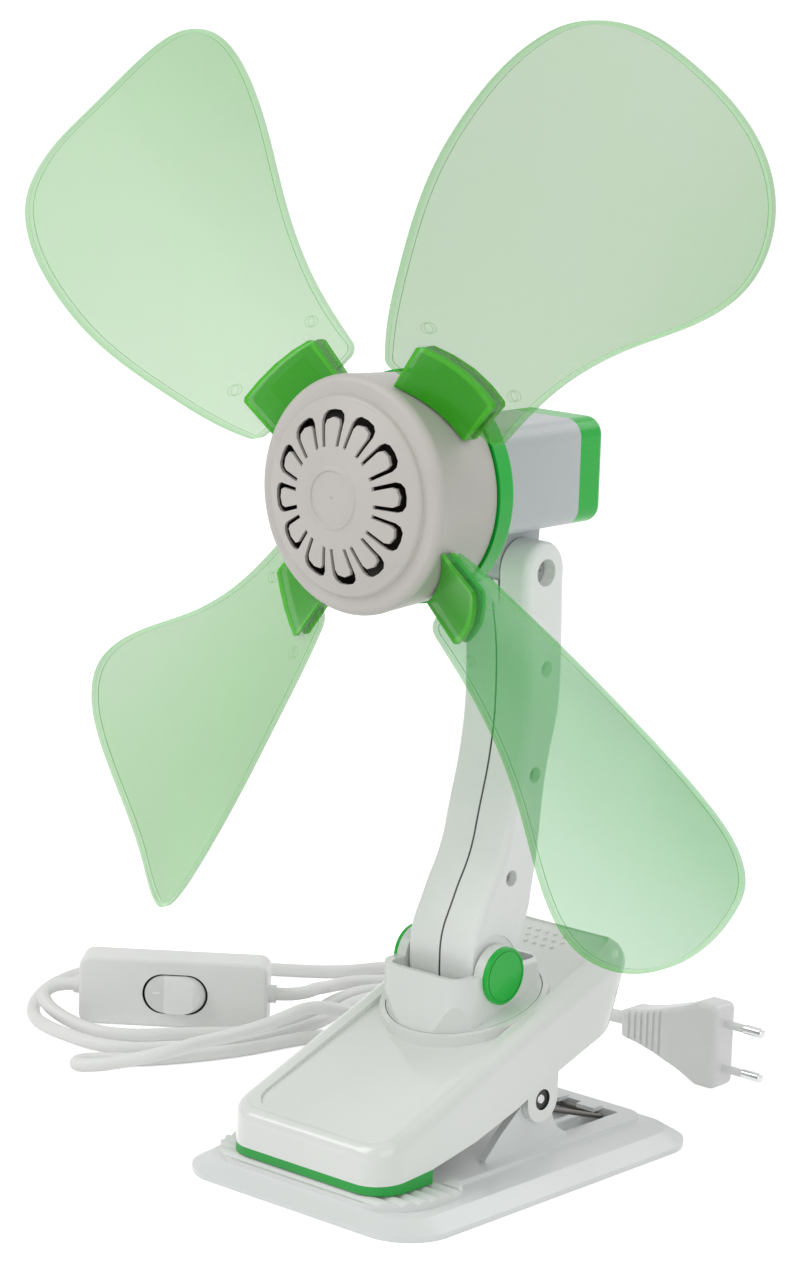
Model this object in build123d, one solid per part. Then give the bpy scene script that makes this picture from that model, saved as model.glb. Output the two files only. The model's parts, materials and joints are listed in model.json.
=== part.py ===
from build123d import *
import math
import os

# Clip fan. Origin: middle of the underside of the base plate.
# +Z up, -Y front (the way the air is blown), +X to the fan's left as seen from the front.

# ---- base plate and lower jaw -------------------------------------------------
BASE_W, BASE_L, BASE_X = 120.0, 171.0, 2.5   # footprint; its middle, a little right of the hinge's
BASE_R = 20.0                          # footprint corner radius
SKIRT_LIP = 2.2                        # upright edge of the skirt
SKIRT_Z = 6.5                          # top of the flared skirt
SKIRT_RUN = 7.0                        # plan width of the flare
PLAT_W, PLAT_F, PLAT_B = 82.0, -75.0, 77.0   # raised platform: width, front y, back y
PLAT_Z = 8.0
WALL = 2.4
SPR_R, SPR_D = 4.9, 2.0                # spring: mean radius of its turns, wire
BRIDGE_Y, BAR_Z = 67.2, 6.0            # its bar across the well
TOOTH_R, TOOTH_PITCH, TOOTH_N, TOOTH_DEEP = 2.9, 5.4, 6, 1.7   # cross ridges of the pad
WELL_W, WELL_F, WELL_B, WELL_Z = 63.2, 38.0, 70.4, 2.2   # well under the tail
PAD_W, PAD_F, PAD_B, PAD_Z = 100.4, -78.3, -36.6, 10.0   # serrated lower pad
PAD_RF, PAD_RB = 20.0, 11.0            # its corners, front and back

# ---- hinge ---------------------------------------------------------------------
HINGE_Y, HINGE_Z = 16.0, 27.0
PIN_R = 2.0
FIT = 0.05                             # running fit of pins, radial
GAP = 0.4                              # gap between faces of different bodies

# ---- upper jaw -------------------------------------------------------------------
JAW_W, JAW_F, JAW_B = 80.0, -76.2, 73.6   # width, front and back
LUG_R, LUG_HOLE = 8.7, 4.0
LUG_X1 = JAW_W / 2 - 2.4               # hinge lugs lie inside the side walls
LUG_X0 = LUG_X1 - 2.6
FLANK_X1 = LUG_X0 - GAP                # flanks of the base inside the lugs
FLANK_X0 = FLANK_X1 - 3.2
TAB_X1 = FLANK_X0 - 0.6                # bearing tabs inside the flanks
TAB_X0 = TAB_X1 - 3.4
PIN_END = LUG_X1 - 0.4
UPAD_B = -48.4                         # back end of the green strip
JAW_SLOPE = math.degrees(math.atan(0.374))   # slope of the top surface
JAW_TOP0 = 55.6                        # height of the top surface at y = 0
JAW_WALL = 2.4
PANEL_W, PANEL_F, PANEL_B = 62.0, -70.5, 66.5   # recessed panel of the top
PANEL_D0, PANEL_D1 = 1.0, 3.4          # its depth at the front and at the tail

# ---- turret ------------------------------------------------------------------------
TUR_TILT = 16.0                        # swivel axis leans forward, square to its ring
TUR_Y, TUR_Z = 12.7, 60.8              # middle of the ring's top
RING_RO, RING_RI = 32.4, 30.2
COLLAR_R = 29.4
COLLAR_W = 42.6
COLLAR_F, COLLAR_B = -14.5, 37.5       # front and back of the collar
RIM_TOP = 74.6
PIV_Y, PIV_Z = 8.9, 73.3               # arm pivot
EAR_R, EAR_X0, EAR_X1 = 11.0, 17.0, 21.3
CAP_X1 = 23.3

# ---- arm ----------------------------------------------------------------------------
ARM_X = 16.5                           # half width
KN_Y, KN_Z, KN_R = 32.1, 222.9, 11.6   # knuckle at the top
ARM_FRONT = [(-1.5, 86.0), (5.0, 100.5), (13.5, 116.5), (18.0, 133.0), (22.3, 150.0), (24.6, 166.0), (24.8, 186.0)]
ARM_REAR = [(44.6, 186.0), (44.4, 175.0), (37.8, 144.0), (34.3, 113.0), (31.6, 96.0)]
ARM_WALL = 2.2
ARM_LOW_R, ARM_HEEL = 11.0, (27.5, 84.0)   # round foot, heel above it
ARM_EDGE, ARM_SEAM = 3.0, 0.45          # rounding of the sides, groove between the halves

# ---- head ----------------------------------------------------------------------------
AX_Z = 259.4                           # fan axis
HOUS_W = 40.0
HOUS_F, HOUS_SEAM, HOUS_B = -19.5, 45.0, 58.9
RINGH_F, RINGH_B, RINGH_R = -27.4, -19.6, 42.6
MOTOR_R = 17.0

# ---- rotor ----------------------------------------------------------------------------
DRUM_F, DRUM_B = -57.2, -28.2
DRUM_RF, DRUM_RB = 43.2, 41.6
DOME0, DOME1 = (11.6, -69.3), (34.4, -63.3)   # face of the hub cap: (radius, y) at its centre ring and its edge
SLOT_N = 12
SHAFT_R = 2.5
BLADE_T = 1.8
BEAD_W, BEAD_T = 1.3, 0.45              # bead at the edge: width, proud of the leaf
# blade surface: y = polynomial of u (along the blade) and w (across it), both / 100
BLADE_C0, BLADE_CW, BLADE_CU, BLADE_CWW, BLADE_CUW, BLADE_CUU = -42.9, -53.7, -7.6, -47.8, 10.2, 6.0
BLADE_AZ = 50.0                        # first blade's direction, seen from the front
# outline of the blade (u, w)
BLADE_OUT = [(45.5, 20.5), (60.0, 27.0), (81.0, 33.7), (116.0, 42.6), (150.0, 46.2), (176.0, 44.6), (192.0, 38.0),
             (200.0, 26.0), (202.0, 8.0), (200.5, -16.0), (194.0, -38.0), (183.0, -52.0), (168.0, -58.6), (144.0, -54.6),
             (112.0, -38.5), (80.0, -27.4), (60.0, -24.6), (46.5, -23.6)]
TAB_OUT = [(39.0, 13.8), (59.6, 15.2), (61.0, 14.2), (62.6, 7.6), (63.3, 0.0), (62.6, -7.6), (61.0, -14.2), (59.6, -15.2), (39.0, -13.8)]
UNDER_D = 6.0                          # under side of the shell below its top
SPIGOT_R = 12.0                        # turret spigot in the jaw's floor
LUGH_X0, LUGH_X1 = -8.6, 3.1           # tilt lug of the head
TILT_R = 2.5
ARM_SCREWS = [(18.5, 108.0), (30.0, 146.0), (34.5, 186.0)]
BRG_R = 5.5
POST_X, POST_R = 14.2, 3.4             # screw posts of the motor box
ROT_R = 8.6
PRONG_Y, PRONG_A = -45.2, 26.0         # middle and slant of the prongs
PRONG_X, PRONG_L, PRONG_T, PRONG_W = 49.8, 18.4, 2.4, 17.0
ROOT_R = 43.6                          # the blades' roots stand off the drum
TAB_T, TAB_RIM, TAB_SUNK = 3.6, 1.8, 0.9     # pocket: half thickness, rim, depth of its field
CORNER_R = 4.2                         # rounding of the blade's root corners
SLOT_A0 = 22.5                         # first vent's direction
CORD_R = 2.8
GLAND_Y, GLAND_Z, GLAND_R = 62.0, 5.4, 4.2


def box(x0, x1, y0, y1, z0, z1):
    """Box between two corners."""
    return Pos((x0 + x1) / 2, (y0 + y1) / 2, (z0 + z1) / 2) * Box(x1 - x0, y1 - y0, z1 - z0)


def cyl_x(r, x0, x1, y, z):
    """Cylinder along X."""
    return Pos(x0, y, z) * Rot(0, 90, 0) * Cylinder(r, x1 - x0, align=(Align.CENTER, Align.CENTER, Align.MIN))


def cyl_y(r, y0, y1, x=0.0, z=AX_Z):
    """Cylinder along Y."""
    return Pos(x, y0, z) * Rot(-90, 0, 0) * Cylinder(r, y1 - y0, align=(Align.CENTER, Align.CENTER, Align.MIN))


def cyl_z(r, z0, z1, x=0.0, y=0.0):
    """Cylinder along Z."""
    return Pos(x, y, z0) * Cylinder(r, z1 - z0, align=(Align.CENTER, Align.CENTER, Align.MIN))


def prism_x(pts, x0, x1):
    """Closed polygon of (y, z) points pushed along X."""
    face = Plane.YZ.offset(x0) * make_face(Polyline(*pts, close=True))
    return extrude(face, x1 - x0)


def prism_y(pts, y0, y1):
    """Closed polygon of (x, z) points pushed along Y."""
    wire = Polyline(*[Vector(x, y0, z) for x, z in pts], close=True)
    return extrude(make_face(wire), y1 - y0, dir=(0, 1, 0))


def plan(w, y0, y1, r, z0, z1):
    """Rounded rectangle in plan, upright."""
    return extrude(Pos(0, (y0 + y1) / 2, z0) * RectangleRounded(w, y1 - y0, r), z1 - z0)


def one(shape):
    """The shape as a plain solid when it is a single one."""
    s = shape.solids()
    return s[0] if len(s) == 1 else Compound(children=list(s))


# =============================== base ======================================================
def make_lower_jaw():
    """Base plate with flared skirt, platform, well under the tail, hinge flanks and gland boss."""
    lip = Pos(BASE_X, 0, 0) * plan(BASE_W, -BASE_L / 2, BASE_L / 2, BASE_R, 0, SKIRT_LIP)
    low = Pos(BASE_X, 0, SKIRT_LIP) * RectangleRounded(BASE_W, BASE_L, BASE_R)
    top = Pos(BASE_X, 0, SKIRT_Z) * RectangleRounded(BASE_W - 2 * SKIRT_RUN, BASE_L - 2 * SKIRT_RUN, BASE_R - SKIRT_RUN + 1)
    plat = plan(PLAT_W, PLAT_F, PLAT_B, 9, SKIRT_Z - 1, PLAT_Z)
    hollow = Pos(BASE_X, 0, 0) * plan(BASE_W - 2 * SKIRT_RUN - 6, -BASE_L / 2 + SKIRT_RUN + 3, BASE_L / 2 - SKIRT_RUN - 3, 6, -1, SKIRT_Z - WALL)
    body = lip + loft([low, top]) + plat - hollow
    body = body + box(-WELL_W / 2 - 2.2, WELL_W / 2 + 2.2, WELL_F - 2.2, WELL_B + 2.2, 0.6, SKIRT_Z)
    body = body - box(-WELL_W / 2, WELL_W / 2, WELL_F, WELL_B, WELL_Z, PLAT_Z + 1)
    for x in (-RIB_X, 0.0, RIB_X):      # ribs on the floor of the well carry the spring's bar
        body = body + box(x - 1.6, x + 1.6, WELL_F - 1.0, WELL_B + 1.0, WELL_Z - 0.5, BAR_Z - SPR_D / 2 - 0.3)
        ridge = box(x - 1.6, x + 1.6, WELL_F - 1.0, BRIDGE_Y - 8.0, WELL_Z, PLAT_Z - 0.6)
        body = body + fillet(ridge.edges().filter_by(Axis.Y).sort_by(Axis.Z)[-2:], 1.5)
    for x, w in HOOKS:                  # hooks over the bar
        body = body + box(x - w, x + w, BRIDGE_Y - 2.2, WELL_B + 1.0, BAR_Z + SPR_D / 2 + 0.3, PLAT_Z + 0.9)
    for y in (-52.0, -26.0, 0.0, 24.0):  # ribs underneath
        body = body + box(BASE_X - 50, BASE_X + 50, y - 1, y + 1, 0.8, SKIRT_Z - WALL + 0.2)
    hy, hz = HINGE_Y, HINGE_Z
    pts = [(-12.5, PLAT_Z - 1.0), (-12.5, PLAT_Z + 1.0), (-4.0, 17.0), (hy - 9.4, hz - 2.0), (hy - 7.6, hz + 4.4), (hy - 4.0, hz + 7.6),
           (hy, hz + 8.6), (hy + 4.2, hz + 7.6), (hy + 7.6, hz + 4.4), (hy + 8.6, hz), (hy + 8.8, 21.6),
           (hy + 10.6, 16.6), (hy + 13.8, 12.2), (hy + 19.5, PLAT_Z + 0.6), (hy + 19.5, PLAT_Z - 1.0)]
    for s in (-1, 1):                   # hinge flanks: broad foot, concave back edge
        x0, x1 = (FLANK_X0, FLANK_X1) if s > 0 else (-FLANK_X1, -FLANK_X0)
        body = body + prism_x(pts, x0, x1)
    body = body + (Pos(BASE_X - BASE_W / 2 + 9.5, GLAND_Y, GLAND_Z) * Box(17.0, 13.0, 11.0) & box(-100, 0, 0, 100, 0, 11.0))
    body = body - cyl_x(GLAND_R, -80, BASE_X - BASE_W / 2 + 14.0, GLAND_Y, GLAND_Z)
    body = body - cyl_x(PIN_R, -40, 40, hy, hz)
    return one(body)


def make_lower_pad():
    """White ridged pad, wrapped round the front of the platform, its ends run back along the sides."""
    rim = plan(PAD_W, PAD_F, PAD_B + 60.0, PAD_RF, SKIRT_Z, PAD_Z) & plan(PAD_W, PAD_F - 60.0, PAD_B, PAD_RB, SKIRT_Z, PAD_Z)
    pad = rim - plan(PLAT_W, PLAT_F, PLAT_B, 9, 0, PLAT_Z)
    pad = pad - plan(PAD_W - 36, PAD_F + 17, PAD_B + 10, 4, 0, PAD_Z + 1)
    ears = box(-60, 60, UPAD_B + 4.0, PAD_B + 10, PLAT_Z - 1, PAD_Z + 1) & box(-PLAT_W / 2, PLAT_W / 2, -60, 60, 0, 40)
    pad = pad - ears
    y1 = PAD_F + 1.6 + TOOTH_PITCH * TOOTH_N
    pad = pad - box(-60, 60, PAD_F - 1, y1, PAD_Z - TOOTH_DEEP, PAD_Z + 1)
    for i in range(TOOTH_N):            # ridges across the pad
        y = PAD_F + 1.6 + TOOTH_PITCH * (i + 0.5)
        pad = pad + (cyl_x(TOOTH_R, -60, 60, y, PAD_Z - TOOTH_R) & box(-60, 60, -90, 90, PLAT_Z, PAD_Z + 1) & rim
                     - plan(PAD_W - 36, PAD_F + 17, PAD_B + 10, 4, 0, PAD_Z + 1))
    edge = [e for e in pad.edges() if abs(e.center().Z - PAD_Z) < 0.01 and e.center().Y > y1 + 1.0 and abs(e.center().X) > PLAT_W / 2 + 3.0]
    return one(fillet(edge, 1.4))


def make_hinge_pin():
    """Steel pin: pressed in the flanks, the lugs turn on it."""
    pin = cyl_x(PIN_R, -PIN_END, PIN_END, HINGE_Y, HINGE_Z)
    return one(chamfer(pin.edges().filter_by(GeomType.CIRCLE), 0.4))


def make_pin_retainers():
    """Dark push-on rings that keep the pin, in the lugs' holes."""
    return [one(cyl_x(LUG_HOLE - 0.25, min(s * FLANK_X1, s * (FLANK_X1 + 2.4)), max(s * FLANK_X1, s * (FLANK_X1 + 2.4)), HINGE_Y, HINGE_Z)
                - cyl_x(PIN_R, -60, 60, HINGE_Y, HINGE_Z)) for s in (1, -1)]


def make_gland():
    """Rubber sleeve where the lead leaves the base."""
    x = BASE_X - BASE_W / 2
    g = cyl_x(GLAND_R, x - 4.0, x + 14.0, GLAND_Y, GLAND_Z)
    g = g + cyl_x(GLAND_R + 1.2, x - 6.0, x - 0.3, GLAND_Y, GLAND_Z) + cyl_x(GLAND_R, x - 6.0, x, GLAND_Y, GLAND_Z)
    g = g - cyl_x(CORD_R, x - 1.0, x + 16.0, GLAND_Y, GLAND_Z)
    return one(g)


SPR_X, SPR_PITCH, SPR_TURNS = 15.2, 2.6, 3    # inner end of each coil, pitch, full turns
RIB_X, HOOKS = 19.6, ((-19.4, 4.3), (0.0, 6.4), (19.4, 4.3))   # ribs of the well; hooks: place, half width
LEG_Y = 53.0                           # where the upper legs press under the shell


def biarc(p0, t0, p1, t1):
    """Two tangent arcs from p0 (direction t0) to p1 (direction t1)."""
    v = p1 - p0
    a, b, c = 2 * (t0.dot(t1) - 1), -2 * v.dot(t0 + t1), v.dot(v)
    d = (-b - math.sqrt(b * b - 4 * a * c)) / (2 * a)
    c0, c1 = p0 + t0 * d, p1 - t1 * d
    mid = (c0 + c1) * 0.5
    out = []
    for q0, c, q1 in ((p0, c0, mid), (mid, c1, p1)):
        m = (q0 + q1) * 0.5
        h = (q1 - q0).length / 2
        turn = math.acos(max(-1.0, min(1.0, h / d)))
        out.append(ThreePointArc(q0, m + (c - m).normalized() * (h * math.tan(turn / 2)), q1))
    return out


def tangent_angle(y, z, side):
    """Direction (degrees) of the line from the coil's circle to the point, touching on the given side."""
    dy, dz = y - HINGE_Y, z - HINGE_Z
    return math.degrees(math.atan2(dz, dy)) + side * math.degrees(math.asin(SPR_R / math.hypot(dy, dz)))


def make_spring():
    """Double torsion spring, one wire: leg, coil, bar in the well, coil, leg."""
    bar_z = BAR_Z
    leg_z = jaw_top(LEG_Y) - UNDER_D - SPR_D / 2 / math.cos(math.radians(20.5)) - 0.45
    down = tangent_angle(BRIDGE_Y, bar_z, 1)
    up = tangent_angle(LEG_Y, leg_z, -1)
    th0 = -90.0 + down                  # where the bar's leg touches the turns
    th1 = 90.0 + up - 360.0 * (SPR_TURNS + 1)
    n = int(math.ceil((th0 - th1) / 90.0))
    slope = SPR_PITCH / 360.0

    def at(th):
        t = math.radians(th)
        return Vector(SPR_X + slope * (th - th1), HINGE_Y + SPR_R * math.cos(t), HINGE_Z + SPR_R * math.sin(t))

    def tan(th):
        t = math.radians(th)
        return Vector(-slope * 180 / math.pi, SPR_R * math.sin(t), -SPR_R * math.cos(t)).normalized()

    ths = [th0 + (th1 - th0) * i / n for i in range(n + 1)]
    start = at(th0) - tan(th0) * ((BRIDGE_Y - HINGE_Y) / math.cos(math.radians(down)) - 3.4)
    edges = []
    flat = Vector(-1, 0, 0)
    bend = biarc(Vector(start.X - 5.0, BRIDGE_Y, bar_z), Vector(1, 0, 0), start, tan(th0))
    edges += [Line(Vector(0, BRIDGE_Y, bar_z), bend[0] @ 0)] + bend + [Line(start, at(th0))]
    for t0, t1 in zip(ths, ths[1:]):
        edges += biarc(at(t0), tan(t0), at(t1), tan(t1))
    end = at(th1)
    leg = tan(th1)
    edges.append(Line(end, end + leg * ((LEG_Y - end.Y) / leg.Y)))
    right = Wire(edges)
    solid = sweep(Plane(origin=right @ 0, z_dir=right % 0) * Circle(SPR_D / 2), path=right)
    solid = solid + mirror(solid, about=Plane.YZ)
    print("spring: turns", round((th0 - th1) / 360, 2), "pitch gap", round(SPR_PITCH - SPR_D, 2), "outer x", round(at(th0).X + SPR_D / 2, 2), "bar to x", round((bend[0] @ 0).X, 2))
    return solid


# =============================== upper jaw ================================================
def jaw_top(y):
    """Height of the sloping top surface."""
    return JAW_TOP0 + 0.374 * y


def jaw_block():
    """Wedge of the jaw: plan corners and top edges rounded."""
    y0, y1 = JAW_F, JAW_B
    pts = [(y0, 13.6), (y0, jaw_top(y0)), (y1, jaw_top(y1)),
           (61.0, 50.2), (40.4, 43.6), (19.9, 36.6), (-1.7, 27.8), (-24.8, 20.6), (-48.5, 15.8)]
    b = prism_x(pts, -JAW_W / 2, JAW_W / 2)
    side = [e for e in b.edges() if abs(e.tangent_at(0.5).X) < 0.01 and abs(abs(e.center().X) - JAW_W / 2) < 0.01
            and (abs(e.center().Y - y0) < 0.05 or (e.center().Y > y1 - 14 and e.center().Z > 46 and abs(e.tangent_at(0.5).Z) > 0.8))]
    b = fillet(side, 13.0)
    top = b.faces().filter_by(lambda f: f.normal_at().Z > 0.9 and f.area > 3000).sort_by(Axis.Z)[-1]
    return fillet(top.edges(), 6.0)


def jaw_hollow():
    """Space inside the shell."""
    w = JAW_WALL
    y0, y1 = JAW_F + w, JAW_B - 13.0 - w
    d = w * 1.07
    b = plan(JAW_W - 2 * w, y0, y1, 10.6, 4.0, 110.0)
    b = b & prism_x([(y0 - 1, 4.0), (y0 - 1, jaw_top(y0 - 1) - d), (y1 + 1, jaw_top(y1 + 1) - d), (y1 + 1, 4.0)], -60, 60)
    top = b.faces().filter_by(lambda f: f.normal_at().Z > 0.9 and f.area > 3000).sort_by(Axis.Z)[-1]
    b = chamfer(top.edges(), 2.4)
    tail = prism_x([(y1 - 4, 50.0), (y1 - 4, jaw_top(y1 - 4) - d - 2.4), (71.0, jaw_top(71.0) - d - 2.4), (70.0, 69.0), (66.0, 58.5), (62.0, 52.6)], -JAW_W / 2 + 13.0, JAW_W / 2 - 13.0)
    return b + tail


def tur(shape):
    """From the turret's own frame (its ring's top at z 0, swivel axis up) to the object's."""
    return Pos(0, TUR_Y, TUR_Z) * Rot(TUR_TILT, 0, 0) * shape


def make_upper_jaw():
    """Glossy shell: rounded rim, recessed panel, turret ring, hinge lugs, thumb dots."""
    outer = jaw_block()
    inner = jaw_hollow()
    cut = prism_x([(PANEL_F, jaw_top(PANEL_F) - PANEL_D0), (PANEL_B, jaw_top(PANEL_B) - PANEL_D1), (PANEL_B, 120.0), (PANEL_F, 120.0)],
                  -PANEL_W / 2, PANEL_W / 2)
    cut = fillet(cut.edges().filter_by(Axis.Z), 9.0)
    under = prism_x([(-66.0, jaw_top(-66.0) - UNDER_D + 1.0), (68.0, jaw_top(68.0) - UNDER_D), (68.0, jaw_top(68.0) - 3.0), (-66.0, jaw_top(-66.0) - 1.0)], -JAW_W / 2 + 5.0, JAW_W / 2 - 5.0)
    body = (outer - inner) + (under & outer)
    body = body - cut
    ring = tur(cyl_z(RING_RO, -7.0, 0.0))
    body = body + ring
    body = body - tur(cyl_z(RING_RI, -3.0, 12.0)) - tur(cyl_z(SPIGOT_R + FIT, -20.0, 5.0))
    # hinge lugs, hung inside the side walls, and inner bearing tabs
    for s in (-1, 1):
        x0, x1 = (LUG_X0, LUG_X1 + 0.2) if s > 0 else (-LUG_X1 - 0.2, -LUG_X0)
        lug = cyl_x(LUG_R, x0, x1, HINGE_Y, HINGE_Z) + box(x0, x1, HINGE_Y - LUG_R, HINGE_Y + LUG_R, HINGE_Z, 50.0)
        body = body + lug - cyl_x(LUG_HOLE, x0 - 0.01, x1 + 0.01, HINGE_Y, HINGE_Z)
        x0, x1 = (TAB_X0, TAB_X1) if s > 0 else (-TAB_X1, -TAB_X0)
        tab = cyl_x(6.0, x0, x1, HINGE_Y, HINGE_Z) + box(x0, x1, HINGE_Y - 6.0, HINGE_Y + 6.0, HINGE_Z, 57.0)
        body = body + tab - cyl_x(PIN_R + FIT, x0 - 1, x1 + 1, HINGE_Y, HINGE_Z)
    for row, n in ((0, 5), (1, 6), (2, 5)):
        for k in range(n):
            x = (k - (n - 1) / 2) * 4.4
            y = 54.0 + row * 3.8
            z = jaw_top(y) - PANEL_D0 - (PANEL_D1 - PANEL_D0) * (y - PANEL_F) / (PANEL_B - PANEL_F)
            body = body + Pos(x, y, z) * Rot(19.5, 0, 0) * Cylinder(0.9, 1.3)
    return one(body)


def make_upper_pad():
    """Green rubber strip under the front of the shell."""
    pts = [(JAW_F, PAD_Z + GAP), (JAW_F, 13.6), (-48.5, 15.8), (UPAD_B, 15.8 + (UPAD_B + 48.5) * 0.2), (UPAD_B, PAD_Z + GAP)]
    p = prism_x(pts, -JAW_W / 2, JAW_W / 2)
    p = fillet([e for e in p.edges() if abs(e.center().Y - JAW_F) < 0.05 and abs(abs(e.center().X) - JAW_W / 2) < 0.05 and abs(e.tangent_at(0.5).Z) > 0.9], 13.0)
    p = p - plan(JAW_W - 20, JAW_F + 10.0, 0.0, 6, 0, 40)
    return one(p)


# =============================== turret ===================================================
def make_turret():
    """Oval collar with two round ears, on a disc and spigot that turn in the jaw's ring."""
    cy = (COLLAR_F + COLLAR_B) / 2
    sk = Pos(0, cy, 40.0) * RectangleRounded(COLLAR_W, COLLAR_B - COLLAR_F, 9.0)
    collar = extrude(sk, RIM_TOP - 40.0) & tur(cyl_z(COLLAR_R, -1.0, 40.0))
    body = tur(cyl_z(RING_RI - GAP, -2.6, 0.0)) + collar + tur(cyl_z(SPIGOT_R, -7.4, -2.0))
    cav = plan(2 * ARM_X + 1.0, COLLAR_F + 2.4, COLLAR_B - 2.4, 4.0, 61.2, 120.0)
    for s in (-1, 1):
        x0, x1 = (EAR_X0, EAR_X1) if s > 0 else (-EAR_X1, -EAR_X0)
        body = body + cyl_x(EAR_R, x0, x1, PIV_Y, PIV_Z)
    body = body - cav
    body = body - cyl_x(3.0, -30, 30, PIV_Y, PIV_Z)
    body = body - cyl_x(6.2, EAR_X1 - 2.4, EAR_X1 + 1, PIV_Y, PIV_Z) - cyl_x(6.2, -EAR_X1 - 1, -EAR_X1 + 2.4, PIV_Y, PIV_Z)
    body = body - tur(cyl_z(4.0, -20.0, 8.0))
    for a in (30, 150, 270):
        body = body - tur(cyl_z(1.25, -20.0, -2.8, 8.0 * math.cos(math.radians(a)), 8.0 * math.sin(math.radians(a))))
    return one(body)


def make_washer():
    """Retaining washer under the jaw's floor."""
    w = cyl_z(17.0, -9.4, -7.4) - cyl_z(4.0, -12, 0)
    for a in (30, 150, 270):
        w = w - cyl_z(1.6, -20.0, 2.0, 8.0 * math.cos(math.radians(a)), 8.0 * math.sin(math.radians(a)))
    return one(tur(w))


def make_turret_screws():
    out = []
    for a in (30, 150, 270):
        x, y = 8.0 * math.cos(math.radians(a)), 8.0 * math.sin(math.radians(a))
        s = cyl_z(1.25, -9.4, -3.2, x, y) + cyl_z(2.6, -11.0, -9.4, x, y) - (Pos(x, y, -11.0) * Box(3.6, 0.7, 1.4))
        out.append(one(tur(s)))
    return out


def make_pivot_cap(s):
    """Green round cap over one end of the arm's pivot."""
    x0, x1 = (EAR_X1, CAP_X1) if s > 0 else (-CAP_X1, -EAR_X1)
    c = cyl_x(EAR_R, x0, x1, PIV_Y, PIV_Z)
    face = c.faces().sort_by(Axis.X)[-1 if s > 0 else 0]
    c = fillet(face.edges(), 0.7)
    xf = x1 if s > 0 else x0
    groove = cyl_x(9.9, xf - 0.3, xf + 0.3, PIV_Y, PIV_Z) - cyl_x(9.4, xf - 0.4, xf + 0.4, PIV_Y, PIV_Z)
    return one(c - groove)


def make_pivot_bolt():
    b = cyl_x(3.0, -EAR_X1 + 0.4, EAR_X1 - 2.4, PIV_Y, PIV_Z) + cyl_x(5.4, EAR_X1 - 2.4, EAR_X1 - 0.2, PIV_Y, PIV_Z)
    return one(b - (Pos(EAR_X1 - 0.2, PIV_Y, PIV_Z) * Box(1.8, 7.0, 1.2)))


def hex_x(af, x0, x1, y, z):
    """Hexagonal bar along X."""
    pts = [(y + af / 1.732 * math.cos(math.radians(60 * k)), z + af / 1.732 * math.sin(math.radians(60 * k))) for k in range(6)]
    return prism_x(pts, x0, x1)


def make_pivot_nut():
    n = hex_x(9.0, -EAR_X1 + 0.2, -EAR_X1 + 2.4, PIV_Y, PIV_Z)
    return one(n - cyl_x(3.0, -30, 0, PIV_Y, PIV_Z))


# =============================== arm ======================================================
def chain(pts, t_in, t_out):
    """Tangent arcs through the points, with the first and last directions given."""
    v = [Vector(a, b, 0) for a, b in pts]
    t = [Vector(*t_in, 0).normalized()]
    for a, b, c in zip(v, v[1:], v[2:]):
        u, w = b - a, c - b
        t.append((u.normalized() * w.length + w.normalized() * u.length).normalized())
    t.append(Vector(*t_out, 0).normalized())
    out = []
    for p0, t0, p1, t1 in zip(v, t, v[1:], t[1:]):
        out += biarc(p0, t0, p1, t1)
    return out


def arm_face(d=0.0):
    """Side view of the arm, inset by d."""
    r_low, r_top = ARM_LOW_R - d, KN_R - d
    front = [(PIV_Y - r_low, PIV_Z)] + [(y + d, z) for y, z in ARM_FRONT] + [(KN_Y - r_top, KN_Z)]
    rear = [(KN_Y + r_top, KN_Z)] + [(y - d, z) for y, z in ARM_REAR]
    top = ThreePointArc((KN_Y - r_top, KN_Z), (KN_Y, KN_Z + r_top), (KN_Y + r_top, KN_Z))
    heel = (ARM_HEEL[0] - d, ARM_HEEL[1] + d)
    hy, hz = heel[0] - PIV_Y, heel[1] - PIV_Z
    a = math.atan2(hz, hy) - math.acos(r_low / math.hypot(hy, hz))
    mid = (a - math.pi) / 2
    touch = (PIV_Y + r_low * math.cos(a), PIV_Z + r_low * math.sin(a))
    low = ThreePointArc(touch, (PIV_Y + r_low * math.cos(mid), PIV_Z + r_low * math.sin(mid)), (PIV_Y - r_low, PIV_Z))
    return make_face(chain(front, (0, 1), (0, 1)) + [top] + chain(rear, (0, -1), (-0.1, -1)) + [Line(rear[-1], heel), Line(heel, touch), low])


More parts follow.
